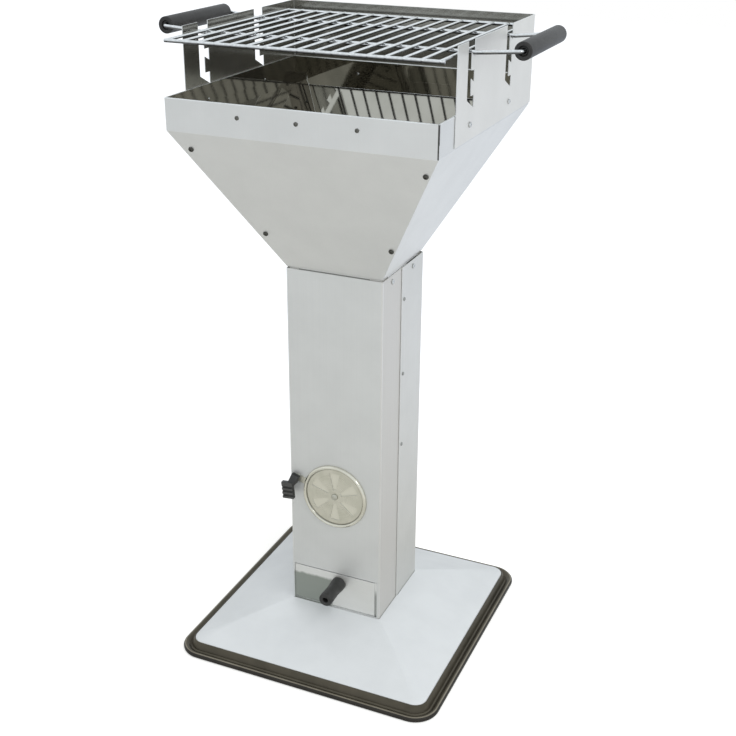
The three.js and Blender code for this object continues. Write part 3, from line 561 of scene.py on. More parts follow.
# Inside faces of the funnel's other walls and of the guards: copies of the steel painted darker
# still, as shade inside the head.
INSIDE_SHADE_SHEET = RolledSheet(
    "stainless_sheet_inside_painted_shade", "8E8A80", "807D73", 0.05, wave_height=0.5, metallic=0.92)
GUARD_LINING = RolledSheet(
    "stainless_sheet_guard_inside_painted_shade", "A2A19A", "95948D", 0.15, wave_height=0.4, metallic=0.85)
REAR_LINING = RolledSheet(
    "stainless_sheet_rear_guard_inside_painted_shade", "A09F98", "92918A", 0.17, wave_height=0.4, metallic=0.85)
# Sheared edges and narrow rounded strips such as the hem's nose: painted lighter than the sheet, as
# a highlight along the edges.
CUT_EDGE = RolledSheet("stainless_sheet_sheared_edge_painted_highlight", "F2F3F2", "E6E7E6", 0.3)
# Bars: bright on top and painted darker as shade on their sides and underside.
GRILL_WIRE = DrawnWire("steel_wire_plated_bright", "ECEEEF", "DADCDD", 0.16, underside_shade="5C5C5C")
GRATE_WIRE = DrawnWire("steel_wire_plain_grey", "8C8D8F", "6E6F72", 0.4, 5.0, 0.05)
# Trim: one dark brown metal in three copies; the ridge copy is painted lighter as a highlight on the
# bead's crest, the bead copy painted darker as shade on its outer and lower face.
RIM_WALL = LacqueredTrim("steel_trim_dark_wall", "595346", "4B463A", 0.4)
RIM_RIDGE = LacqueredTrim("steel_trim_ridge_painted_highlight", "8C8576", "766F61", 0.34)
RIM_BEAD = LacqueredTrim("steel_trim_bead_painted_shade", "37332E", "2C2925", 0.38)
DISC_SHEET = SpunSheet("stainless_disc_spun", "D8D5C7", "CDCBBC", 0.34, DISC_AT)
# Bead: the same spun metal, smoother and painted a little lighter as a highlight.
DISC_BEAD = SpunSheet("stainless_disc_polished_bead", "E2DFD1", "D6D3C5", 0.15, DISC_AT)
DISC_PIVOT = DrawnWire("stainless_rivet_turned", "CCCABE", "B9B8AC", 0.42)
SCREW_STAINLESS = DrawnWire("stainless_screw_pressed", "DADCDC", "C2C4C4", 0.34, 1.5)
SCREW_DARK = DrawnWire("steel_screw_blued", "5E5D58", "484743", 0.36, 1.5)
RIVET_LIGHT = DrawnWire("stainless_rivet_blind", "B6B7B4", "9E9F9C", 0.36, 1.5)
RIVET_DARK = DrawnWire("steel_rivet_blind_dark", "75746E", "5E5D58", 0.36, 1.5)
PLASTIC = MouldedPlastic("phenolic_plastic_moulded", "242322", "191817", 0.46)
# Knob and drawer handle: the same plastic as the grips, painted a little lighter as light.
KNOB_PLASTIC = MouldedPlastic("phenolic_plastic_knob", "2C2C2B", "21211F", 0.46)
# Rib crests: the knob's plastic painted lighter, as a highlight where the ribs catch the light.
KNOB_CREST = MouldedPlastic("phenolic_plastic_rib_painted_highlight", "4C4C4A", "3F3F3D", 0.5)


# Mesh tools


def polar(radius: float, turn: float, height: float) -> Vector:
    """Gives the point at a radius, an angle in radians and a height."""
    return Vector((radius * math.cos(turn), radius * math.sin(turn), height))


# Rounding of a wire's end: how far back from the end, and how thick, as shares of its radius
WIRE_END = ((0.0, 0.55), (0.12, 0.85), (0.3, 1.0))


@dataclass
class Form:
    """Points and faces of a piece in millimetres, each face with the number of its finish."""

    points: list[Vector] = field(default_factory=list)
    faces: list[tuple[int, ...]] = field(default_factory=list)
    finishes: list[int] = field(default_factory=list)

    def skin(self, rings: Sequence[Sequence[Vector]], loop: bool = False, caps: bool = True,
             finish: int = 0) -> None:
        """Joins rings of equally many points by a closed skin.

        Args:
            rings: The rings, in order.
            loop: Whether the last ring joins the first.
            caps: Whether the two end rings are filled, where they don't join.
            finish: Number of the finish of these faces.
        """
        start = len(self.points)
        count = len(rings[0])
        for ring in rings:
            self.points.extend(Vector(p) for p in ring)
        spans = len(rings) if loop else len(rings) - 1
        for i in range(spans):
            here = start + i * count
            after = start + ((i + 1) % len(rings)) * count
            for j in range(count):
                k = (j + 1) % count
                self.faces.append((here + j, here + k, after + k, after + j))
                self.finishes.append(finish)
        if caps and not loop:
            last = start + (len(rings) - 1) * count
            self.faces.append(tuple(start + j for j in reversed(range(count))))
            self.faces.append(tuple(last + j for j in range(count)))
            self.finishes.extend([finish, finish])

    def turn(self, profile: Iterable[tuple[float, float]], sides: int,
             at: Matrix = Matrix.Identity(4), loop: bool = False) -> None:
        """Turns a profile round the local Z axis.

        Args:
            profile: Radius and height pairs.
            sides: Number of facets round the axis.
            at: Where the local axes lie.
            loop: Whether the profile is a closed line.
        """
        rings = []
        for radius, height in profile:
            rings.append([at @ polar(radius, 2 * math.pi * i / sides, height)
                          for i in range(sides)])
        self.skin(rings, loop=loop, caps=False)

    def wire(self, path: Sequence[Vector], radius: float, sides: int = 14,
             loop: bool = False) -> None:
        """Draws a round wire along a path, with slightly rounded ends.

        Args:
            path: Points along the middle of the wire.
            radius: Radius of the wire.
            sides: Number of facets round the wire.
            loop: Whether the wire is closed.
        """
        count = len(path)
        up = Vector((0, 0, 1))
        if abs((path[1] - path[0]).normalized().z) > 0.9:
            up = Vector((0, 1, 0))
        rings = []
        for i, point in enumerate(path):
            if loop:
                along = path[(i + 1) % count] - path[i - 1]
            else:
                along = path[min(i + 1, count - 1)] - path[max(i - 1, 0)]
            along.normalize()
            side = along.cross(up).normalized()
            rise = side.cross(along)
            ends = [(0.0, 1.0)]
            if not loop and i == 0:
                ends = list(WIRE_END)
            if not loop and i == count - 1:
                ends = [(-back, share) for back, share in reversed(WIRE_END)]
            for shift, share in ends:
                rings.append([
                    point + along * shift * radius
                    + (side * math.cos(turn) + rise * math.sin(turn)) * radius * share
                    for turn in (2 * math.pi * (j + 0.5) / sides for j in range(sides))])
        self.skin(rings, loop=loop)

    def bead(self, centre: Vector, radii: tuple[float, float, float]) -> None:
        """Adds a small flattened ball, such as a weld nugget.

        Args:
            centre: Middle of the ball.
            radii: Its half sizes.
        """
        shape = Matrix.Translation(centre) @ Matrix.Diagonal((*radii, 1.0))
        arc = [math.radians(-90 + 30 * i) for i in range(7)]
        self.turn([(math.cos(a), math.sin(a)) for a in arc], 10, shape)

    def mesh(self, name: str, crease: float = 35.0) -> bpy.types.Mesh:
        """Makes a Blender mesh of the form, with its faces turned outwards.

        Args:
            name: Name of the mesh.
            crease: Angle in degrees above which an edge stays sharp.

        Returns:
            The mesh, in metres.
        """
        shape = bmesh.new()
        points = [shape.verts.new(p * MM) for p in self.points]
        for corners, finish in zip(self.faces, self.finishes):
            made = shape.faces.new([points[i] for i in corners])
            made.material_index = finish
        bmesh.ops.remove_doubles(shape, verts=shape.verts, dist=1e-6)
        bmesh.ops.recalc_face_normals(shape, faces=shape.faces)
        return finished_mesh(shape, name, crease)


def finished_mesh(shape: bmesh.types.BMesh, name: str, crease: float) -> bpy.types.Mesh:
    """Writes edited geometry to a smooth shaded mesh.

    Args:
        shape: The geometry, freed here.
        name: Name of the mesh.
        crease: Angle in degrees above which an edge stays sharp.

    Returns:
        The mesh.
    """
    mesh = bpy.data.meshes.new(name)
    shape.to_mesh(mesh)
    shape.free()
    mesh.shade_smooth()
    mesh.set_sharp_from_angle(angle=math.radians(crease))
    return mesh


STRAIGHT = 89.5     # degrees of half the angle at a corner from which the line runs straight on
SIDE_SHARE = 0.49   # share of the shorter side that a rounding may take


def fillet(corners: Sequence[Vector], radius: float | Sequence[float], steps: int,
           loop: bool = False) -> list[Vector]:
    """Rounds the corners of a line.

    Args:
        corners: Corner points.
        radius: Radius of the rounding, or one for each corner, made less where a side is short.
        steps: Number of steps in each rounding.
        loop: Whether the line is closed.

    Returns:
        Points along the rounded line.
    """
    count = len(corners)
    line: list[Vector] = []
    for i, corner in enumerate(corners):
        if not loop and i in (0, count - 1):
            line.append(corner.copy())
            continue
        back = corners[i - 1] - corner
        ahead = corners[(i + 1) % count] - corner
        half = back.angle(ahead) / 2
        if half > math.radians(STRAIGHT):
            line.append(corner.copy())
            continue
        room = min(back.length, ahead.length) * SIDE_SHARE
        wanted = radius if isinstance(radius, (int, float)) else radius[i]
        reach = min(wanted / math.tan(half), room)
        bend = reach * math.tan(half)
        middle = corner + (back.normalized() + ahead.normalized()).normalized() * (
            bend / math.sin(half))
        first = (corner + back.normalized() * reach - middle).normalized()
        last = (corner + ahead.normalized() * reach - middle).normalized()
        for step in range(steps + 1):
            line.append(middle + first.slerp(last, step / steps) * bend)
    return line


def fillet_profile(pairs: Sequence[tuple[float, float]], radius: float | Sequence[float],
                   steps: int, loop: bool = False) -> list[tuple[float, float]]:
    """Rounds the corners of a profile that is given as pairs of numbers."""
    line = fillet([Vector((u, v, 0)) for u, v in pairs], radius, steps, loop)
    return [(p.x, p.y) for p in line]


def box_corners(low: Sequence[float], high: Sequence[float]) -> list[Vector]:
    """Gives the eight corners of a box between two opposite ones."""
    return [Vector((x, y, z)) for x in (low[0], high[0]) for y in (low[1], high[1])
            for z in (low[2], high[2])]


def hulled(shape: bmesh.types.BMesh, corners: Sequence[Vector], ease: float) -> None:
    """Adds a convex block drawn tight round some points, with eased edges.

    Args:
        shape: Geometry that takes the block.
        corners: The points, in millimetres.
        ease: How far the rounding reaches from each edge.
    """
    own = bmesh.new()
    for corner in corners:
        own.verts.new(corner * MM)
    made = bmesh.ops.convex_hull(own, input=own.verts)
    loose = {p for p in made["geom_interior"] + made["geom_unused"]
             if isinstance(p, bmesh.types.BMVert)}
    bmesh.ops.delete(own, geom=list(loose), context="VERTS")
    bmesh.ops.dissolve_limit(own, angle_limit=math.radians(1), verts=own.verts, edges=own.edges)
    bmesh.ops.bevel(own, geom=own.edges, offset=ease * MM, offset_type="OFFSET", segments=3,
                    profile=0.5, affect="EDGES", clamp_overlap=True)
    mesh = bpy.data.meshes.new("hulled_block")
    own.to_mesh(mesh)
    own.free()
    shape.from_mesh(mesh)
    bpy.data.meshes.remove(mesh)


def facing(at: Vector, out: Vector) -> Matrix:
    """Gives the place of a part whose local Z axis points along a direction."""
    return Matrix.Translation(at) @ out.to_track_quat("Z", "Y").to_matrix().to_4x4()


def put(mesh: bpy.types.Mesh, name: str, body: Body, slot: Slot, finishes: Sequence[Finish],
        *nodes: str) -> bpy.types.Object:
    """Puts a finished mesh into the frame as one piece.

    Args:
        mesh: The piece's mesh.
        name: Name of the piece.
        body: Body it rides on.
        slot: Material slot of the piece; not used.
        finishes: Its finishes, in the order that the faces number them.
        *nodes: Names of the solids that it stands for.

    Returns:
        The piece.
    """
    piece = linked(name, mesh)
    for finish in finishes:
        mesh.materials.append(finish.material())
    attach(piece, body.value)
    if nodes:
        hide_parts(*nodes)
    log.info("%s rides on %s for %s", name, body.value, ", ".join(nodes) or "no solid")
    return piece


@dataclass(frozen=True)
class Fold:
    """Edges of a sheet that are rounded: a bend, a hem or a sheared edge.

    Attributes:
        width: How far the rounding reaches from the edge, in millimetres.
        steps: Number of steps in the rounding.
        picks: Tells whether an edge belongs, from its two ends in millimetres and the angle
            in degrees between its faces.
    """

    width: float
    steps: int
    picks: Callable[[Vector, Vector, float], bool]


SQUARE_EDGE = 50    # degrees between two faces above which their edge counts as square
SAME = 0.1          # millimetres within which two positions count as one
EDGE_STRIP = 1.4    # millimetres below which the width of a face makes it a sheared edge
FLAT = 0.6          # degrees between two faces below which they are merged
SHEARED = Fold(0.22, 2, lambda a, b, angle: angle > SQUARE_EDGE)


@dataclass
class FoldedSheet:
    """A sheet metal part, copied from its solid with real bends and eased edges.

    Attributes:
        node: Name of the solid.
        folds: The roundings, in the order they are made.
        body: Body it rides on.
        slot: Material slot.
        finishes: Outside, inside and sheared edge.
        lined: Tells from the middle of a face and its normal whether it shows the inside.
    """

    node: str
    folds: tuple[Fold, ...] = ()
    body: Body = Body.GRILL
    slot: Slot = Slot.SHEET
    finishes: tuple[Finish, ...] = (OUTER_SHEET, LINING_SHEET, CUT_EDGE)
    lined: Callable[[Vector, Vector], bool] = lambda centre, normal: False

    def build(self) -> bpy.types.Object:
        """Copies the solid, rounds its edges and dresses it.

        Returns:
            The piece.
        """
        shape = bmesh.new()
        shape.from_mesh(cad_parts[self.node].data)
        bmesh.ops.remove_doubles(shape, verts=shape.verts, dist=1e-5)
        bmesh.ops.dissolve_limit(
            shape, angle_limit=math.radians(FLAT), verts=shape.verts, edges=shape.edges)
        for fold in (*self.folds, SHEARED):
            self.round_edges(shape, fold)
        for face in shape.faces:
            face.material_index = self.finish_of(face)
        piece = put(finished_mesh(shape, self.node + "_sheet", 60.0), self.node + "_sheet",
                    self.body, self.slot, self.finishes, self.node)
        shading = piece.modifiers.new("even_shading", "WEIGHTED_NORMAL")
        shading.keep_sharp = True
        shading.weight = 90
        return piece

    @staticmethod
    def round_edges(shape: bmesh.types.BMesh, fold: Fold) -> None:
        """Rounds the edges that a fold picks.

        Args:
            shape: Geometry of the sheet.
            fold: The rounding.
        """
        picked = []
        for edge in shape.edges:
            if not edge.is_manifold:
                continue
            ends = [v.co / MM for v in edge.verts]
            if fold.picks(*ends, math.degrees(edge.calc_face_angle(0.0))):
                picked.append(edge)
        if picked:
            bmesh.ops.bevel(shape, geom=picked, offset=fold.width * MM, offset_type="OFFSET",
                            segments=fold.steps, profile=0.5, affect="EDGES",
                            clamp_overlap=True, material=-1)

    def finish_of(self, face: bmesh.types.BMFace) -> int:
        """Tells which finish a face wears.

        Args:
            face: The face.

        Returns:
            The number of the finish.
        """
        lengths = [edge.calc_length() for edge in face.edges]
        strip = EDGE_STRIP * MM
        if min(lengths) < strip and face.calc_area() < strip * max(lengths):
            return 2
        return 1 if self.lined(face.calc_center_median() / MM, face.normal) else 0


# Parts of the grill


@dataclass
class Base:
    """Skirt of four slopes with a lip, and the rolled trim round its foot."""

    skirt_top: float = 55.1
    foot_top: float = 17.6
    opening: float = 72.6
    lip_reach: float = 185.6
    lip_depth: float = 11.0
    collar_depth: float = 22.0
    sheet: float = 1.0
    rim_inner: float = 185.9
    rim_wall: float = 1.3
    rim_spread: float = 4.2
    rim_sheet: float = 1.2
    rim_flat: float = 2.5
    rim_flange: float = 8.0
    rim_bend: float = 0.6
    # Turns of the bead's crest that are painted lighter as a highlight.
    ridge_highlight_turns: tuple[int, int] = (4, 6)
    valley: float = 193.3
    valley_height: float = 5.1
    valley_step: float = 1.3
    bead_centre: float = 199.5
    bead_radius: float = 4.3
    bead_turns: tuple[int, ...] = (
        130, 118, 106, 94, 82, 70, 58, 46, 34, 22, 10, -6, -22, -38, -54, -72, -90)
    corner: float = 36.0
    corner_steps: int = 14
    least_corner: float = 0.4
    collar_bends: tuple[float, float] = (0.45, 0.3)    # outside and inside
    lip_bends: tuple[float, float] = (2.2, 1.2)
    seam_at: float = -4.0
    seam_half: float = 0.5
    front_tuck: float = 1.2
    depth_tuck: float = 1.0
    fit_reach: float = 20.0
    hip_radius: float = 2.0
    hip_growth: float = 3.0
    hip_shares: tuple[float, ...] = (0.18, 0.4, 0.6, 0.76, 0.88, 0.95)

    def square(self, half: float, corner: float, level: float, fit: float) -> list[Vector]:
        """Draws a level square with rounded corners, which may follow the column's outline.

        Args:
            half: Half its width.
            corner: Radius of its corners.
            level: Its height.
            fit: Share of the way from the plain square to the column's own outline.

        Returns:
            The points of the ring.
        """
        ring = []
        inset = half - corner
        for side in range(4):
            turn = Matrix.Rotation(side * math.pi / 2, 3, "Z")
            for step in range(self.corner_steps + 1):
                angle = step / self.corner_steps * math.pi / 2
                ring.append(turn @ Vector((
                    inset + corner * math.cos(angle), inset + corner * math.sin(angle), 0)))
            if side in (1, 3):
                edge = math.copysign(half, side - 2)
                seam = [Vector((edge, self.seam_at + way * self.seam_half, 0))
                        for way in (-1, 1)]
                ring.extend(seam if side == 3 else reversed(seam))
        for p in ring:
            if p.y < self.seam_at:
                p.x -= math.copysign(self.front_tuck * fit, p.x)
            p.y -= math.copysign(self.depth_tuck * fit, p.y)
            p.z = level
        return ring

    def loft(self, form: Form, profile: Sequence[tuple[float, float]],
             corner_at: Callable[[float], float], loop: bool = True, finish: int = 0,
             fit_at: Callable[[float], float] = lambda half: 0.0) -> None:
        """Sweeps a profile round the square.

        Args:
            form: Form that takes the skin.
            profile: Half width and level pairs.
            corner_at: Gives the corner radius at a half width.
            loop: Whether the profile is a closed line.
            finish: Number of the finish of these faces.
            fit_at: Gives the share of the column's outline at a half width.
        """
        form.skin([self.square(h, max(corner_at(h), self.least_corner), z, fit_at(h))
                   for h, z in profile], loop=loop, caps=False, finish=finish)

    def build_rim(self) -> None:
        """Rolls the trim: an inner wall, a valley and a round bead, with a painted highlight on its
        crest and painted shade on its outer and lower face.
        """
        outer = self.bead_centre + self.bead_radius
        crest = self.rim_inner + self.rim_wall
        bead = [
            (self.bead_centre + self.bead_radius * math.cos(math.radians(a)),
             self.bead_radius + self.bead_radius * math.sin(math.radians(a)))
            for a in self.bead_turns]
        wall = fillet_profile([
            (self.rim_inner, self.valley_height), (self.rim_inner, self.foot_top),
            (crest, self.foot_top),
            (crest + self.rim_spread, self.valley_height + self.valley_step),
            (self.valley, self.valley_height)], self.rim_bend, 3)
        lower = self.valley_height - self.rim_sheet
        flange = self.rim_inner - self.rim_flange
        under = [(self.bead_centre - self.rim_flat, 0.0), (self.valley, lower), (flange, lower),
                 (flange, self.valley_height), wall[0]]
        # Painted light: the crest turns wear the lighter ridge finish, the turns beyond them the
        # darker bead finish.
        highlight_from, highlight_to = self.ridge_highlight_turns
        strips = (
            ([*wall, *bead[:highlight_from + 1]], 0),
            (bead[highlight_from:highlight_to + 1], 1),
            ([*bead[highlight_to:], *under], 2))
        form = Form()
        for strip, finish in strips:
            self.loft(form, strip, lambda half: self.corner - (outer - half), False, finish)
        put(form.mesh("base_rim_trim", 50), "base_rim_trim", Body.GRILL, Slot.RIM,
            [RIM_WALL, RIM_RIDGE, RIM_BEAD], "base_rim")

    def build_skirt(self) -> None:
        """Folds the skirt with bends at its lip and at its collar."""
        slope = (self.skirt_top - self.foot_top) / (self.lip_reach - self.opening)
        drop = self.sheet * math.hypot(1, slope)
        inner = self.lip_reach - self.sheet
        under = self.opening + self.sheet
        levels = [(self.opening + (self.lip_reach - self.opening) * share,
                   self.skirt_top - (self.skirt_top - self.foot_top) * share)
                  for share in self.hip_shares]
        outside = fillet_profile([
            (self.opening, self.skirt_top - self.collar_depth), (self.opening, self.skirt_top),
            *levels, (self.lip_reach, self.foot_top),
            (self.lip_reach, self.foot_top - self.lip_depth)],
            (0, self.collar_bends[0], *([0] * len(levels)), self.lip_bends[0], 0), 5)
        inside = fillet_profile([
            (inner, self.foot_top - self.lip_depth),
            (inner, self.foot_top - drop + slope * self.sheet),
            (under, self.skirt_top - drop - slope * self.sheet),
            (under, self.skirt_top - self.collar_depth)],
            (0, self.lip_bends[1], self.collar_bends[1], 0), 5)
        outer = self.bead_centre + self.bead_radius
        lip_corner = self.corner - (outer - self.lip_reach)

        def corner_at(half: float) -> float:
            """Corner radius: small along the hips, and growing fast towards the lip."""
            share = max(0.0, half - self.opening) / (self.lip_reach - self.opening)
            return self.hip_radius + (lip_corner - self.hip_radius) * share ** self.hip_growth

        form = Form()
        self.loft(form, [*outside, *inside], corner_at,
                  fit_at=lambda half: max(0.0, 1 - (half - self.opening) / self.fit_reach))
        put(form.mesh("base_skirt_sheet", 40), "base_skirt_sheet", Body.GRILL, Slot.SHEET,
            [SKIRT_SHEET], "base_skirt")

    def build(self) -> None:
        """Builds the rim and the skirt."""
        self.build_rim()
        self.build_skirt()


@dataclass
class Column:
    """Two channels that lap at the sides, and the drawer shelf between them."""

    face: float = 71.2
    bend: float = 2.2
    bend_run: float = 12.0
    sheet: float = 1.0
    shelf_bend: float = 1.4
    shelf_run: float = 60.0
    shelf_level: float = 55.0

    def bends(self) -> tuple[Fold, Fold]:
        """Gives the bends of a channel, outside and inside.

        Returns:
            The two roundings.
        """
        def upright(a: Vector, b: Vector) -> bool:
            """Tells whether an edge stands upright and is long."""
            return abs(a.z - b.z) > self.bend_run and (a - b).xy.length < SAME

        outside = Fold(self.bend, 5, lambda a, b, angle: (
            angle > SQUARE_EDGE and upright(a, b) and abs(abs(a.y) - self.face) < SAME
            and abs(a.x) > self.face - self.sheet * 2))
        inside = Fold(self.bend - self.sheet, 4, lambda a, b, angle: (
            angle > SQUARE_EDGE and upright(a, b) and abs(abs(a.y) - self.face + self.sheet) < SAME
            and abs(a.x) > self.face - self.sheet * 3))
        return outside, inside

    def build(self) -> None:
        """Builds the two channels and the shelf."""
        for node, finish in (("column_front", COLUMN_SHEET), ("column_rear", REAR_SHEET)):
            FoldedSheet(node, self.bends(), finishes=(finish, LINING_SHEET, CUT_EDGE)).build()
        FoldedSheet("drawer_shelf", (Fold(self.shelf_bend, 4, lambda a, b, angle: (
            angle > SQUARE_EDGE and abs(a.y - b.y) > self.shelf_run
            and a.z > self.shelf_level)),)).build()


@dataclass
class Head:
    """Funnel of four walls with hemmed bands, and the three wind guards."""

    middle: Vector = field(default_factory=lambda: Vector((0, 4, 0)))
    band_top: float = 821.5
    bend: float = 5.0
    tab_bend: float = 0.9
    tab_level: float = 600.0
    least_turn: float = 15.0
    least_run: float = 8.0
    hem_nose: float = 1.1
    hem_run: float = 100.0
    lean: float = 0.15
    ring_half: float = 68.4
    ring_corner: float = 3.0
    ring_sheet: float = 0.8
    ring_foot: float = 566.0
    ring_head: float = 586.9

    def inward(self, centre: Vector, normal: Vector) -> bool:
        """Tells whether a face looks towards the axis of the head."""
        return (self.middle - centre).xy.normalized().dot(normal.xy) > self.lean

    def build_collar_ring(self) -> None:
        """Bends a narrow ring inside the column's mouth, behind the four tabs of the funnel."""
        outer, inner = self.ring_half, self.ring_half - self.ring_sheet
        rings = []
        for half, level in ((outer, self.ring_foot), (outer, self.ring_head),
                            (inner, self.ring_head), (inner, self.ring_foot)):
            corners = [Vector((x * half, y * half, level))
                       for x, y in ((1, -1), (1, 1), (-1, 1), (-1, -1))]
            rings.append(fillet(corners, self.ring_corner - (outer - half), 5, loop=True))
        form = Form()
        form.skin(rings, loop=True, caps=False)
        put(form.mesh("funnel_collar_ring", 50), "funnel_collar_ring", Body.GRILL, Slot.SHEET,
            [COLLAR_SHEET])

    def build(self) -> None:
        """Builds the four walls, the ring below them and the three guards."""
        def level_bend(a: Vector, b: Vector, angle: float) -> bool:
            """Tells whether an edge lies level where two leaves of a wall meet."""
            return (self.least_turn < angle < SQUARE_EDGE and abs(a.z - b.z) < SAME
                    and (a - b).length > self.least_run)

        wall_folds = (
            Fold(self.hem_nose, 5, lambda a, b, angle: (
                angle > SQUARE_EDGE and min(a.z, b.z) > self.band_top - SAME
                and (a - b).length > self.hem_run)),
            Fold(self.bend, 6, lambda a, b, angle: (
                level_bend(a, b, angle) and a.z > self.tab_level)),
            Fold(self.tab_bend, 4, lambda a, b, angle: (
                level_bend(a, b, angle) and a.z < self.tab_level)))
        # The inside faces wear darker copies of the sheet: painted shade inside the funnel and the
        # guards.
        for hand, outer, inner in (
                ("front", BAND_SHEET, INSIDE_SHADE_SHEET), ("rear", OUTER_SHEET, LINING_SHEET),
                ("left", OUTER_SHEET, INSIDE_SHADE_SHEET), ("right", OUTER_SHEET, INSIDE_SHADE_SHEET)):
            FoldedSheet("funnel_" + hand, wall_folds, finishes=(outer, inner, CUT_EDGE),
                        lined=self.inward).build()
        self.build_collar_ring()
        for hand, inner in (
                ("rear", REAR_LINING), ("left", GUARD_LINING), ("right", GUARD_LINING)):
            FoldedSheet("wind_guard_" + hand, finishes=(GUARD_SHEET, inner, CUT_EDGE),
                        lined=self.inward).build()


@dataclass
class CookingGrid:
    """Bars welded across one bent wire, with a black sleeve on each bow."""

    wire_level: float = 885.0
    bar_level: float = 888.6
    bar_radius: float = 2.0
    bar_count: int = 17
    bar_pitch: float = 22.0
    bar_shift: float = -1.0
    bar_overrun: float = 1.6
    weld: tuple[float, float, float] = (2.5, 2.9, 2.3)
    weld_drop: float = 0.2
    front: float = -161.0
    rear: float = 157.0
    cross_radius: float = 2.5
    cross_front: float = -65.0
    cross_rear: float = 81.0
    edge_radius: float = 2.4
    front_run: float = 5.0
    rear_run: float = 1.8
    edge_level: float = 887.7
    rise_from: float = 185.0
    grip_level: float = 890.5
    grip_reach: float = 240.0
    grip_flare: float = 7.0
    grip_bend: float = 5.0
    grip_radius: float = 11.0
    grip_half: float = 75.7
    grip_bore: float = 2.8
    grip_edge: float = 1.6
    recess_depth: float = 3.0
    recess_floor: float = 2.4
    recess_mouth: float = 3.2

    def loop_path(self) -> list[Vector]:
        """Draws the middle line of the bent wire.

        Returns:
            Points of the closed line.
        """
        front, rear = self.cross_front, self.cross_rear
        low, high = self.wire_level, self.grip_level
        near, far = self.rise_from, self.grip_reach
        corners = [
            Vector((-near, front, low)), Vector((near, front, low)),
            Vector((far, front - self.grip_flare, high)),
            Vector((far, rear + self.grip_flare, high)),
            Vector((near, rear, low)), Vector((-near, rear, low)),
            Vector((-far, rear + self.grip_flare, high)),
            Vector((-far, front - self.grip_flare, high))]
        return fillet(corners, self.grip_bend, 6, loop=True)

    def build_wires(self) -> None:
        """Draws the bent wire, the bars, the edge wires and the welds."""
        form = Form()
        form.wire(self.loop_path(), self.cross_radius, 16, loop=True)
        outer = (self.bar_count - 1) * self.bar_pitch / 2
        for i in range(self.bar_count):
            x = self.bar_shift + i * self.bar_pitch - outer
            form.wire([Vector((x, self.front - self.bar_overrun, self.bar_level)),
                       Vector((x, self.rear + self.bar_overrun, self.bar_level))],
                      self.bar_radius, 12)
            for y, level in ((self.cross_front, self.wire_level), (self.cross_rear, self.wire_level),
                             (self.front, self.edge_level), (self.rear, self.edge_level)):
                height = (self.bar_level + level) / 2
                form.bead(Vector((x, y, height - self.weld_drop)), self.weld)
        for y, run in ((self.front, self.front_run), (self.rear, self.rear_run)):
            form.wire([Vector((self.bar_shift - outer - run, y, self.edge_level)),
                       Vector((self.bar_shift + outer + run, y, self.edge_level))],
                      self.edge_radius, 14)
        put(form.mesh("cooking_grid_wires"), "cooking_grid_wires", Body.GRID, Slot.WIRE,
            [GRILL_WIRE], "cooking_grid")

    def build_grips(self) -> None:
        """Moulds the two sleeves, each with rounded ends and a recess round the wire."""
        radius, half, bore = self.grip_radius, self.grip_half, self.grip_bore
        floor, mouth = bore + self.recess_floor, bore + self.recess_mouth
        deep = self.recess_depth
        profile = fillet_profile([
            (bore, -half + deep), (floor, -half + deep), (mouth, -half), (radius, -half),
            (radius, half), (mouth, half), (floor, half - deep), (bore, half - deep)],
            self.grip_edge, 5, loop=True)
        middle = (self.cross_front + self.cross_rear) / 2
        for hand, side in (("left", -1), ("right", 1)):
            form = Form()
            at = facing(Vector((side * self.grip_reach, middle, self.grip_level)), Vector((0, 1, 0)))
            form.turn(profile, 40, at, loop=True)
            name = f"grid_grip_{hand}_sleeve"
            put(form.mesh(name, 50), name, Body.GRID, Slot.PLASTIC, [PLASTIC], "grid_grip_" + hand)

    def build(self) -> None:
        """Builds the wires and the grips."""
        self.build_wires()
        self.build_grips()


@dataclass
class CharcoalGrate:
    """Plain wire grate in the funnel, held by its side slopes and its corner flanges."""

    level: float = 690.0
    frame_radius: float = 3.0
    bar_radius: float = 2.5
    corner: float = 14.0
    bar_count: int = 11
    tie_count: int = 2
    weld_sink: float = 0.9
    weld: tuple[float, float, float] = (3.2, 3.4, 3.0)
    weld_rise: float = 0.4

    def build(self) -> None:
        """Draws the frame wire, the bars and the two ties under them."""
        low, high = (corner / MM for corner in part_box("charcoal_grate"))
        left, right = low.x + self.frame_radius, high.x - self.frame_radius
        front, rear = low.y + self.frame_radius, high.y - self.frame_radius
        form = Form()
        corners = [Vector((right, front, self.level)), Vector((right, rear, self.level)),
                   Vector((left, rear, self.level)), Vector((left, front, self.level))]
        form.wire(fillet(corners, self.corner, 8, loop=True), self.frame_radius, 14, loop=True)
        pitch = (right - left) / (self.bar_count + 1)
        for i in range(1, self.bar_count + 1):
            x = left + i * pitch
            form.wire([Vector((x, front, self.level)), Vector((x, rear, self.level))],
                      self.bar_radius, 10)
            for y in (front, rear):
                form.bead(Vector((x, y, self.level + self.weld_rise)), self.weld)
        under = self.level - self.bar_radius * 2 + self.weld_sink
        for i in range(1, self.tie_count + 1):
            y = front + (rear - front) * i / (self.tie_count + 1)
            form.wire([Vector((left + pitch / 2, y, under)), Vector((right - pitch / 2, y, under))],
                      self.bar_radius, 10)
        put(form.mesh("charcoal_grate_wires"), "charcoal_grate_wires", Body.GRATE, Slot.GRATE,
            [GRATE_WIRE], "charcoal_grate")


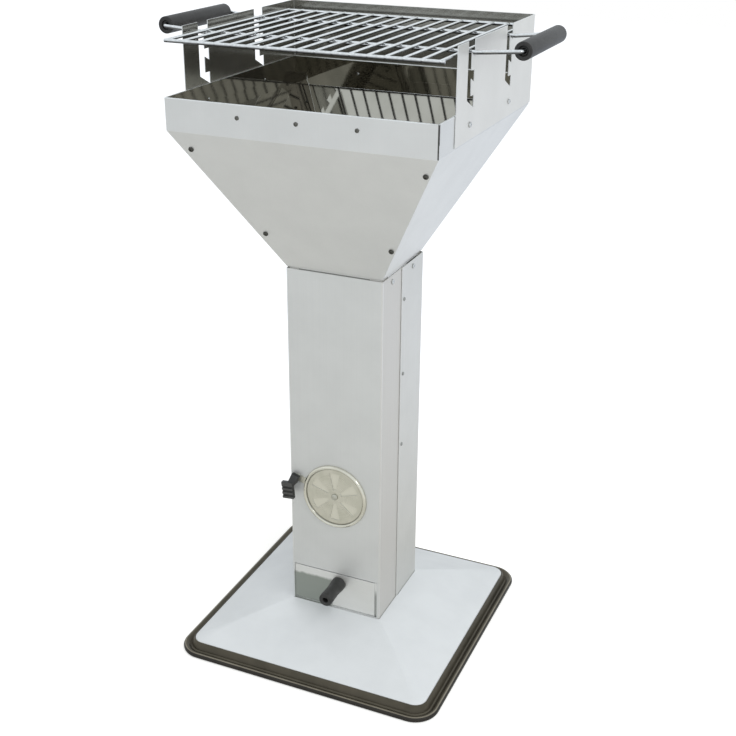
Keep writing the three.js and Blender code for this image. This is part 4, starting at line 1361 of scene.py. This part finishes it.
@dataclass
class AshDrawer:
    """Open tray with a front plate and a black handle."""

    handle_at: Vector = field(default_factory=lambda: Vector((6, -71.2, 100.5)))
    length: float = 48.0
    root: float = 11.0
    waist: float = 9.5
    end: float = 10.3
    socket: float = 4.2
    socket_depth: float = 30.0
    bore_play: float = 0.4
    gap: float = 0.3
    sheet: float = 1.0
    stiffener_reach: float = 66.5
    stiffener_depth: float = 8.0
    screw_radius: float = 2.0
    screw_head: float = 3.6
    screw_head_height: float = 3.0
    nut_radius: float = 4.0
    nut_height: float = 3.2

    def build_sheets(self) -> None:
        """Folds the tray and its front plate."""
        finishes = (DRAWER_SHEET, LINING_SHEET, CUT_EDGE)
        FoldedSheet("ash_drawer_tray", body=Body.DRAWER).build()
        FoldedSheet("ash_drawer_front", body=Body.DRAWER, finishes=finishes).build()

    def build_stiffeners(self) -> None:
        """Folds a narrow angle behind each end of the front plate, on which it is welded."""
        low, high = (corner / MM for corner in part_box("ash_drawer_front"))
        side_low, side_high = (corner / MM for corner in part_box("ash_drawer_tray"))
        level = high.y + self.gap
        for hand, wall, edge in (("left", side_low.x - self.gap, -self.stiffener_reach),
                                 ("right", side_high.x + self.gap, self.stiffener_reach)):
            side = math.copysign(self.sheet, edge)
            line = fillet([Vector((wall, level + self.stiffener_depth, 0)), Vector((wall, level, 0)),
                           Vector((edge, level, 0))], 0.5, 5)
            back = fillet([
                Vector((wall + side, level + self.stiffener_depth, 0)),
                Vector((wall + side, level + self.sheet, 0)),
                Vector((edge, level + self.sheet, 0))], 0.3, 5)
            form = Form()
            form.skin([[p + Vector((0, 0, z)) for p in (*line, *reversed(back))]
                       for z in (low.z + self.gap, high.z - self.gap)])
            name = f"ash_drawer_stiffener_{hand}"
            put(form.mesh(name, 50), name, Body.DRAWER, Slot.SHEET, [STIFFENER_SHEET])

    def build_handle(self) -> None:
        """Moulds the handle, waisted behind its end, with a deep socket for the screw."""
        size = self.length
        seat = size - self.socket_depth
        bore = self.screw_radius + self.bore_play
        profile = [
            (bore, self.gap), (self.root - 0.8, self.gap),
            (self.root, self.gap + 0.8), (self.root, size * 0.16), (self.root - 0.5, size * 0.2),
            (self.waist + 0.5, size * 0.36), (self.waist, size * 0.45),
            (self.waist + 0.4, size * 0.58), (self.end - 0.3, size * 0.74),
            (self.end, size * 0.82), (self.end, size - 1.6), (self.end - 0.5, size - 0.5),
            (self.end - 1.6, size), (self.socket + 0.4, size), (self.socket, size - 0.4),
            (self.socket, seat), (bore, seat)]
        at = facing(self.handle_at, Vector((0, -1, 0)))
        form = Form()
        form.turn(profile, 40, at, loop=True)
        put(form.mesh("drawer_handle_grip", 40), "drawer_handle_grip", Body.DRAWER, Slot.PLASTIC,
            [KNOB_PLASTIC], "drawer_handle")

    def build_fixing(self) -> None:
        """Turns the handle's screw and its hexagon nut."""
        at = facing(self.handle_at, Vector((0, -1, 0)))
        seat = self.length - self.socket_depth + self.gap
        tail = -self.sheet - self.gap * 2 - self.nut_height
        top = seat + self.screw_head_height
        screw = Form()
        screw.turn([(0, tail), (self.screw_radius - 0.3, tail), (self.screw_radius, tail + 0.4),
                    (self.screw_radius, seat), (self.screw_head, seat),
                    (self.screw_head, top - 0.8), (self.screw_head - 0.8, top), (1.4, top),
                    (1.1, top - 1.6), (0, top - 1.8)], 20, at)
        put(screw.mesh("drawer_handle_screw_steel"), "drawer_handle_screw_steel", Body.DRAWER,
            Slot.FASTENER, [SCREW_DARK], "drawer_handle_screw")
        face = -self.sheet - self.gap
        back = face - self.nut_height
        bore = self.screw_radius + self.gap
        nut = Form()
        nut.turn([(bore, back), (self.nut_radius - 0.3, back), (self.nut_radius, back + 0.3),
                  (self.nut_radius, face - 0.3), (self.nut_radius - 0.3, face), (bore, face)],
                 6, at, loop=True)
        put(nut.mesh("drawer_handle_nut_steel"), "drawer_handle_nut_steel", Body.DRAWER,
            Slot.FASTENER, [SCREW_DARK], "drawer_handle_nut")

    def build(self) -> None:
        """Builds the drawer."""
        self.build_sheets()
        self.build_stiffeners()
        self.build_handle()
        self.build_fixing()


@dataclass
class AirDamper:
    """Spun disc with a bead and six windows, its pivot and its ribbed knob."""

    centre: Vector = field(default_factory=lambda: Vector(DISC_AT))
    radius: float = 50.0
    flat: float = 44.2
    sheet: float = 1.0
    gap: float = 0.3
    bead_rise: float = 2.9
    window_inner: float = 11.0
    window_outer: float = 38.0
    window_angle: float = 25.0
    window_count: int = 6
    window_turn: float = 30.0
    window_steps: int = 6
    hole: float = 2.85
    web_radii: tuple[float, float, float] = (6.5, 20.0, 29.0)
    arm_angle: float = 162.2
    arm_reach: float = 64.0
    arm_width: float = 9.6
    arm_lap: float = 3.0
    pivot_shank: float = 2.5
    pivot_head: float = 5.0
    pivot_height: float = 2.2
    pivot_tail: tuple[float, float] = (0.6, 0.8)    # its flat and its rim, as shares of the head
    pivot_tail_edge: float = 0.7
    pivot_dome: tuple[tuple[float, float], ...] = (
        (1.0, 0.0), (1.0, 0.25), (0.9, 0.6), (0.65, 0.88), (0.3, 1.0), (0.0, 1.0))
    knob_width: float = 17.2
    knob_height: float = 26.0
    knob_depth: float = 6.6
    knob_standoff: float = 9.5
    knob_tilt: float = 5.0
    knob_shift: float = -7.2
    knob_drop: float = 16.6
    boss_length: float = 12.0
    boss_width: float = 10.6
    boss_height: float = 6.4
    boss_shift: float = 0.6
    neck_height: float = 7.0
    neck_depth: float = 5.0
    neck_from: float = 0.1
    spigot: float = 2.0
    rib_count: int = 4
    rib_depth: float = 1.6
    rib_share: float = 0.55
    rib_edge: float = 0.45
    block_edge: float = 0.5
    boss_edge: float = 0.7

    def at(self) -> Matrix:
        """Gives the disc's own axes: X to the viewer's right, Y up, Z out of its face."""
        return Matrix.Translation(self.centre) @ Matrix.Rotation(math.pi / 2, 4, "X")

    def build_disc(self) -> None:
        """Spins the disc, pierces its windows and welds on its arm."""
        at = self.at()
        half = self.window_angle / 2
        steps = self.window_steps
        edges: list[float] = []
        for i in range(self.window_count):
            middle = self.window_turn + i * 360 / self.window_count
            edges.extend(middle - half + self.window_angle * k / steps for k in range(steps))
            spoke = 360 / self.window_count - self.window_angle
            edges.extend(middle + half + spoke * k / steps for k in range(steps))
        hub, low, high = self.web_radii
        radii = [self.hole, hub, self.window_inner, low, high, self.window_outer, self.flat]
        cut = range(radii.index(self.window_inner), radii.index(self.window_outer))
        form = Form()
        columns = len(edges)

        def point(ring: int, column: int, height: float) -> Vector:
            """Point of the flat web at a ring and a column."""
            return at @ polar(radii[ring], math.radians(edges[column % columns]), height)

        def pierced(ring: int, column: int) -> bool:
            """Tells whether a cell of the web belongs to a window."""
            return ring in cut and (column % columns) % (steps * 2) < steps

        def quad(*corners: Vector, finish: int = 0) -> None:
            """Adds one four-sided face.

            Args:
                *corners: Its four corners.
                finish: Number of its finish.
            """
            start = len(form.points)
            form.points.extend(corners)
            form.faces.append(tuple(range(start, start + 4)))
            form.finishes.append(finish)

        for ring in range(len(radii) - 1):
            for column in range(columns):
                if pierced(ring, column):
                    continue
                for height in (0.0, self.sheet):
                    quad(point(ring, column, height), point(ring + 1, column, height),
                         point(ring + 1, column + 1, height), point(ring, column + 1, height))
                for far in (0, 1):
                    near = ring + (1 if far else -1)
                    if 0 <= near < len(radii) - 1 and pierced(near, column) or near < 0:
                        level = ring + far
                        quad(point(level, column, 0), point(level, column + 1, 0),
                             point(level, column + 1, self.sheet),
                             point(level, column, self.sheet), finish=2)
                    if pierced(ring, column + (1 if far else -1)):
                        side = column + far
                        quad(point(ring, side, 0), point(ring + 1, side, 0),
                             point(ring + 1, side, self.sheet), point(ring, side, self.sheet),
                             finish=2)
        crown = (self.flat + self.radius) / 2
        width = (self.radius - self.flat) / 2
        arc = [math.radians(180 - 15 * i) for i in range(13)]
        under = [(crown + (width - (self.sheet if a < 1.5 else 0)) * math.cos(a),
                  self.bead_rise * math.sin(a)) for a in arc]
        over = [(crown + width * math.cos(a), self.bead_rise * math.sin(a)
                 + self.sheet * max(0.0, math.sin(a) ** 0.5 if a > 1.5 else math.sin(a)))
                for a in reversed(arc)]
        over[-1] = (self.flat, self.sheet)
        rings = [[at @ polar(r, math.radians(e), z) for e in edges] for r, z in (*under, *over)]
        form.skin(rings, caps=False, finish=1)
        self.add_arm(form)
        put(form.mesh("air_disc_sheet", 40), "air_disc_sheet", Body.DAMPER, Slot.DISC,
            [DISC_SHEET, DISC_BEAD, CUT_EDGE], "air_disc")

    def add_arm(self, form: Form) -> None:
        """Adds the flat arm that carries the knob.

        Args:
            form: Form of the disc.
        """
        turn = Matrix.Rotation(math.radians(self.arm_angle), 4, "Z")
        place = self.at() @ turn
        half = self.arm_width / 2
        root = self.radius - self.arm_lap
        outline = [Vector((root, -half, 0)), Vector((self.arm_reach, -half, 0))]
        for step in range(1, 12):
            angle = math.radians(-90 + 15 * step)
            outline.append(Vector((
                self.arm_reach + half * math.cos(angle), half * math.sin(angle), 0)))
        outline.extend([Vector((self.arm_reach, half, 0)), Vector((root, half, 0))])
        form.skin([[place @ (p + Vector((0, 0, z))) for p in outline]
                   for z in (0.0, self.sheet)])

    def build_pivot(self) -> None:
        """Turns the domed rivet in the middle of the disc."""
        top = self.sheet + self.gap
        end = -self.sheet - self.gap * 2
        height = self.pivot_height
        low = end - height
        flat, rim = (self.pivot_head * share for share in self.pivot_tail)
        form = Form()
        form.turn([(0, low), (flat, low), (rim, low + self.pivot_tail_edge), (rim, end),
                   (self.pivot_shank, end), (self.pivot_shank, top),
                   *((self.pivot_head * wide, top + height * high)
                     for wide, high in self.pivot_dome)], 24, self.at())
        put(form.mesh("air_disc_pivot_rivet"), "air_disc_pivot_rivet", Body.DAMPER, Slot.DISC,
            [DISC_PIVOT], "air_disc_pivot")

    def rib_profile(self, back: float, front: float) -> list[tuple[float, float]]:
        """Draws the side outline of the knob's block, with ribs across its face.

        Args:
            back: Distance of its back from the disc.
            front: Distance of the ribs' crests from the disc.

        Returns:
            Distance and height pairs.
        """
        top = self.knob_height / 2
        pitch = self.knob_height / self.rib_count
        profile = [(back, top), (back, -top)]
        for i in range(self.rib_count, 0, -1):
            base = top - i * pitch
            crest = base + pitch * self.rib_share
            profile.extend([(front, base), (front, crest if i > 1 else top)])
            if i > 1:
                profile.extend([(front - self.rib_depth, crest),
                                (front - self.rib_depth, base + pitch)])
        return fillet_profile(profile, self.rib_edge, 2, loop=True)

    def build_knob(self) -> None:
        """Moulds the knob: a boss on the arm, a neck, and a ribbed block hung from it."""
        face = self.at()
        arm = face @ Matrix.Rotation(math.radians(self.arm_angle), 4, "Z")
        end = Matrix.Rotation(math.radians(self.arm_angle), 3, "Z") @ Vector((self.arm_reach, 0, 0))
        block = face @ Matrix.Translation(end + Vector((self.knob_shift, -self.knob_drop, 0)))
        block = block @ Matrix.Rotation(math.radians(self.knob_tilt), 4, "Z")
        foot = self.sheet + self.gap
        back = foot + self.knob_standoff
        front = back + self.knob_depth
        half, top = self.knob_width / 2, self.knob_height / 2

        body = Form()
        line = self.rib_profile(back, front)
        body.skin([[block @ Vector((x, height, out)) for out, height in line]
                   for x in (-half, half)])
        shape = bmesh.new()
        shape.from_mesh(body.mesh("knob_block"))
        to_block = block.inverted()
        ends = [e for e in shape.edges if all(
            abs(abs((to_block @ (v.co / MM)).x) - half) < 0.01 for v in e.verts)]
        bmesh.ops.bevel(shape, geom=ends, offset=self.block_edge * MM, segments=2, profile=0.5,
                        affect="EDGES", clamp_overlap=True)
        # Faces at the ribs' crests wear the lighter crest finish, a painted highlight.
        for rib in shape.faces:
            rib.material_index = int((to_block @ (rib.calc_center_median() / MM)).z > front - 0.1)

        middle = self.arm_reach + self.boss_shift
        low = (middle - self.boss_length / 2, -self.boss_width / 2, foot)
        high = (middle + self.boss_length / 2, self.boss_width / 2, foot + self.boss_height)
        boss = [arm @ p for p in box_corners(low, high)]
        slab = [arm @ p for p in box_corners((*low[:2], foot + self.boss_height / 2), high)]
        neck = [block @ p for p in box_corners(
            (half * self.neck_from, top - self.neck_height, back),
            (half - 0.4, top - 0.4, back + self.neck_depth))]
        hulled(shape, boss, self.boss_edge)
        hulled(shape, [*slab, *neck], self.boss_edge)
        spigot = Form()
        spigot.turn([(0, -self.gap / 2), (self.spigot, -self.gap / 2), (self.spigot, foot + 1),
                     (0, foot + 1)], 20, face @ Matrix.Translation(end))
        shape.from_mesh(spigot.mesh("knob_spigot"))
        put(finished_mesh(shape, "air_knob_block", 40), "air_knob_block", Body.DAMPER,
            Slot.PLASTIC, [KNOB_PLASTIC, KNOB_CREST], "air_knob")

    def build(self) -> None:
        """Builds the disc, the pivot and the knob."""
        self.build_disc()
        self.build_pivot()
        self.build_knob()


# Directions square to the front and the rear slope of the funnel
FRONT_SLOPE = (0, -0.8836, -0.4682)
REAR_SLOPE = (0, 0.8713, -0.4907)


@dataclass
class Fasteners:
    """Pan head screws with a cross recess, and blind rivets."""

    screw_radius: float = 3.5
    screw_height: float = 2.0
    rivet_radius: float = 2.7
    rivet_height: float = 1.2
    gap: float = 0.3
    shank: float = 4.6
    shank_share: float = 0.486
    rivet_shank: float = 1.5
    cross_core: float = 0.14
    cross_arm: float = 0.34
    cross_steps: tuple[tuple[float, float], ...] = ((0.0, 1.0), (0.5, 0.86), (1.1, 0.45))
    cross_depth: float = 1.25
    crown_play: float = 0.02

    def screw_mesh(self) -> bpy.types.Mesh:
        """Makes a pan head with a cross recess on a short shank.

        Returns:
            The mesh, its axis along Z.
        """
        top = self.gap + self.screw_height
        radius = self.screw_radius
        form = Form()
        sides = 32
        rings = []
        thin = self.shank_share
        for share, height in ((0.0, -self.shank), (0.34, -self.shank), (thin, -self.shank + 0.5),
                              (thin, self.gap), (1.0, self.gap), (1.0, self.gap + 0.55),
                              (0.93, self.gap + 1.2), (0.78, self.gap + 1.7), (0.6, top - 0.05),
                              (0.5, top)):
            rings.append([polar(radius * share, 2 * math.pi * i / sides, height)
                          for i in range(sides)])
        cross = []
        for i in range(sides):
            turn = 2 * math.pi * i / sides
            lobe = abs(math.cos(2 * turn)) ** 3
            cross.append((turn, radius * (self.cross_core + self.cross_arm * lobe)))
        for depth, shrink in self.cross_steps:
            rings.append([polar(reach * shrink, t, top - depth) for t, reach in cross])
        rings.append([Vector((0, 0, top - self.cross_depth))] * sides)
        form.skin(rings, caps=False)
        return form.mesh("screw_head", 40)

    def rivet_mesh(self) -> bpy.types.Mesh:
        """Makes a low domed rivet with the mark of its drawn pin.

        Returns:
            The mesh, its axis along Z.
        """
        top = self.gap + self.rivet_height
        radius = self.rivet_radius
        form = Form()
        thin = self.rivet_shank
        form.turn([(0, -self.shank), (thin - 0.2, -self.shank), (thin, -self.shank + 0.4),
                   (thin, self.gap), (radius, self.gap), (radius, self.gap + 0.3),
                   (radius * 0.86, self.gap + 0.75), (radius * 0.6, top - 0.12),
                   (radius * 0.42, top), (radius * 0.36, top - 0.35), (0, top - 0.4)], 24)
        return form.mesh("rivet_head", 40)

    def build(self) -> None:
        """Sets a head where each solid of a fastener sits."""
        meshes = {"screw": self.screw_mesh(), "rivet": self.rivet_mesh()}
        for node in sorted(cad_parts):
            kind = next((k for k in meshes if f"_{k}_" in node), None)
            if kind is None or node.startswith("drawer"):
                continue
            place = self.place_of(node, self.screw_height if kind == "screw" else self.rivet_height)
            own = meshes[kind].copy()
            own.transform(Matrix.Translation(place.translation * MM)
                          @ place.to_quaternion().to_matrix().to_4x4())
            put(own, node + "_steel", Body.GRILL, Slot.FASTENER, [self.finish_of(kind, node)],
                node)

    @staticmethod
    def finish_of(kind: str, node: str) -> Finish:
        """Gives a fastener's finish: dark on the band and the slopes, light elsewhere.

        Args:
            kind: Screw or rivet.
            node: Name of the solid.

        Returns:
            The finish.
        """
        if kind == "rivet":
            return RIVET_DARK if node.startswith("band") else RIVET_LIGHT
        return SCREW_DARK if node.startswith("corner") else SCREW_STAINLESS

    def place_of(self, node: str, height: float) -> Matrix:
        """Finds the point on the sheet and the direction of a fastener from its solid.

        Args:
            node: Name of the solid.
            height: Height of its head.

        Returns:
            The place, in millimetres, its Z axis out of the sheet.
        """
        points = [v.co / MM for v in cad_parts[node].data.vertices]
        out = self.direction_of(node)
        along = [p.dot(out) for p in points]
        crown = [p for p in points if p.dot(out) > max(along) - self.crown_play]
        foot = sum(crown, Vector()) / len(crown)
        return facing(foot - out * (height + self.gap), out)

    @staticmethod
    def direction_of(node: str) -> Vector:
        """Gives the direction in which a fastener's head looks.

        Args:
            node: Name of the solid.

        Returns:
            A unit vector.
        """
        if node.startswith("corner_screw_front"):
            return Vector(FRONT_SLOPE)
        if node.startswith("corner_screw_rear"):
            return Vector(REAR_SLOPE)
        if "rear_" in node and node.startswith("guard") or node == "skirt_screw_rear":
            return Vector((0, 1, 0))
        if node.startswith("band") or node == "skirt_screw_front":
            return Vector((0, -1, 0))
        return Vector((-1 if "left" in node else 1, 0, 0))


# Studio


def ray_kinds(tree: bpy.types.NodeTree) -> tuple[bpy.types.NodeSocket, bpy.types.NodeSocket]:
    """Adds the nodes that tell apart what the camera sees and what metal and glass show.

    Args:
        tree: Node tree of a material or of the world.

    Returns:
        The share of camera rays, and that of mirrored or refracted rays.
    """
    path = add_node(tree, "LightPath")
    mirrored = add_node(tree, "Math", {
        0: path.outputs["Is Glossy Ray"], 1: path.outputs["Is Transmission Ray"]},
        operation="MAXIMUM")
    return path.outputs["Is Camera Ray"], mirrored.outputs[0]


@dataclass
class Studio:
    """White floor, soft light from all round and above right, and the camera.

    The floor's colour changes from the middle to the front and the rear, because the bright
    sheets take their tone from the floor that they mirror.
    """

    place: Vector = field(default_factory=lambda: Vector((0.6267, -1.3887, 1.1042)))
    right: Vector = field(default_factory=lambda: Vector((0.9151, 0.4031, 0.0061)))
    up: Vector = field(default_factory=lambda: Vector((-0.1699, 0.3719, 0.9126)))
    lens: float = 57.06
    near_paper: str = "D6D7D4"
    front_paper: str = "E6E9EB"
    rear_paper: str = "EDF1F6"
    white_glow: float = 0.5
    rear_glow: tuple[float, float, float] = (0.12, 0.14, 0.18)
    front_reach: tuple[float, float] = (0.7, 1.6)
    rear_reach: tuple[float, float] = (0.1, 1.0)
    floor_half: float = 7.0
    level: float = 0.72
    sky: tuple[float, float, float] = (0.88, 0.925, 0.96)
    aim: Vector = field(default_factory=lambda: Vector((0, 0, 0.35)))
    key_place: Vector = field(default_factory=lambda: Vector((1.5, -1.5, 2.4)))
    key_power: float = 46.0
    key_size: float = 2.2
    spark_place: Vector = field(default_factory=lambda: Vector((1.9, -0.95, 1.6)))
    spark_power: float = 3.0
    spark_size: float = 0.5

    def build_camera(self) -> None:
        """Sets the camera where the photograph was taken from."""
        data = bpy.data.cameras.new("camera")
        data.lens = self.lens
        data.sensor_width = 36.0
        data.clip_start = 0.05
        data.clip_end = 50.0
        camera = linked("camera", data)
        back = self.right.cross(self.up).normalized()
        right = self.up.cross(back).normalized()
        turn = Matrix((right, back.cross(right), back)).transposed().to_4x4()
        camera.matrix_world = Matrix.Translation(self.place) @ turn
        bpy.context.scene.camera = camera

    def build_floor(self) -> None:
        """Lays the floor: pale grey that the camera sees as white, with the grill's shadow."""
        mesh = bpy.data.meshes.new("studio_floor")
        half = self.floor_half
        mesh.from_pydata([(-half, -half, 0), (half, -half, 0), (half, half, 0), (-half, half, 0)],
                         [], [(0, 1, 2, 3)])
        linked("studio_floor", mesh)
        made = bpy.data.materials.new("studio_floor_paper")
        tree = cleared(made)
        place = add_node(tree, "TexCoord").outputs["Object"]
        reach = add_node(tree, "VectorMath", {0: place}, operation="LENGTH").outputs["Value"]
        away = add_node(tree, "MapRange", {
            "Value": reach, 1: self.front_reach[0], 2: self.front_reach[1], 3: 0.0, 4: 1.0})
        depth = add_node(tree, "SeparateXYZ", {0: place}).outputs[1]
        behind = add_node(tree, "MapRange", {
            "Value": depth, 1: self.rear_reach[0], 2: self.rear_reach[1], 3: 0.0, 4: 1.0})
        front = add_node(tree, "Mix", {
            0: away.outputs[0], 6: linear(self.near_paper), 7: linear(self.front_paper)},
            data_type="RGBA")
        colour = add_node(tree, "Mix", {
            0: behind.outputs[0], 6: front.outputs[2], 7: linear(self.rear_paper)},
            data_type="RGBA")
        paper = add_node(tree, "BsdfDiffuse", {"Color": colour.outputs[2]})
        camera, mirrored = ray_kinds(tree)
        seen = add_node(tree, "Math", {0: camera, 1: self.white_glow}, operation="MULTIPLY")
        far = add_node(tree, "Math", {0: mirrored, 1: behind.outputs[0]}, operation="MULTIPLY")
        white = add_node(tree, "Emission", {"Color": (1, 1, 1, 1), "Strength": seen.outputs[0]})
        cool = add_node(tree, "Emission", {
            "Color": (*self.rear_glow, 1.0), "Strength": far.outputs[0]})
        lit = add_node(tree, "AddShader", {0: paper.outputs[0], 1: white.outputs[0]})
        both = add_node(tree, "AddShader", {0: lit.outputs[0], 1: cool.outputs[0]})
        add_node(tree, "OutputMaterial", {"Surface": both.outputs[0]})
        mesh.materials.append(made)

    def build_world(self) -> None:
        """Fills the room: white to the camera, a pale sky in the metal, plain light elsewhere."""
        world = bpy.data.worlds.new("studio")
        bpy.context.scene.world = world
        tree = cleared(world)
        camera, mirrored = ray_kinds(tree)
        plain = add_node(tree, "Background", {"Color": (1, 1, 1, 1), "Strength": self.level})
        sky = add_node(tree, "Background", {"Color": (*self.sky, 1.0), "Strength": 1.0})
        white = add_node(tree, "Background", {"Color": (1, 1, 1, 1), "Strength": 1.0})
        inner = add_node(tree, "MixShader", {0: mirrored, 1: plain.outputs[0], 2: sky.outputs[0]})
        outer = add_node(tree, "MixShader", {0: camera, 1: inner.outputs[0], 2: white.outputs[0]})
        add_node(tree, "OutputWorld", {"Surface": outer.outputs[0]})

    def build_lamps(self) -> None:
        """Hangs a large softbox in front on the right, and a small one for highlights."""
        for name, place, power, size, mirrored in (
                ("softbox", self.key_place, self.key_power, self.key_size, False),
                ("highlight_box", self.spark_place, self.spark_power, self.spark_size, True)):
            data = bpy.data.lights.new(name, "AREA")
            data.energy = power
            data.size = size
            lamp = linked(name, data)
            lamp.visible_glossy = mirrored
            turn = (self.aim - place).to_track_quat("-Z", "Y")
            lamp.matrix_world = Matrix.Translation(place) @ turn.to_matrix().to_4x4()

    def build(self) -> None:
        """Builds the camera, the floor, the room and the lamps."""
        self.build_camera()
        self.build_floor()
        self.build_world()
        self.build_lamps()


def main() -> None:
    """Builds the studio and every part of the grill."""
    logging.basicConfig(level=logging.INFO, format="%(name)s: %(message)s")
    bpy.context.scene.view_settings.view_transform = "Standard"
    Studio().build()
    for part in (Base(), Column(), Head(), CookingGrid(), CharcoalGrate(), AshDrawer(),
                 AirDamper(), Fasteners()):
        part.build()
        log.info("built %s", type(part).__name__)


if __name__ == "__main__":
    main()
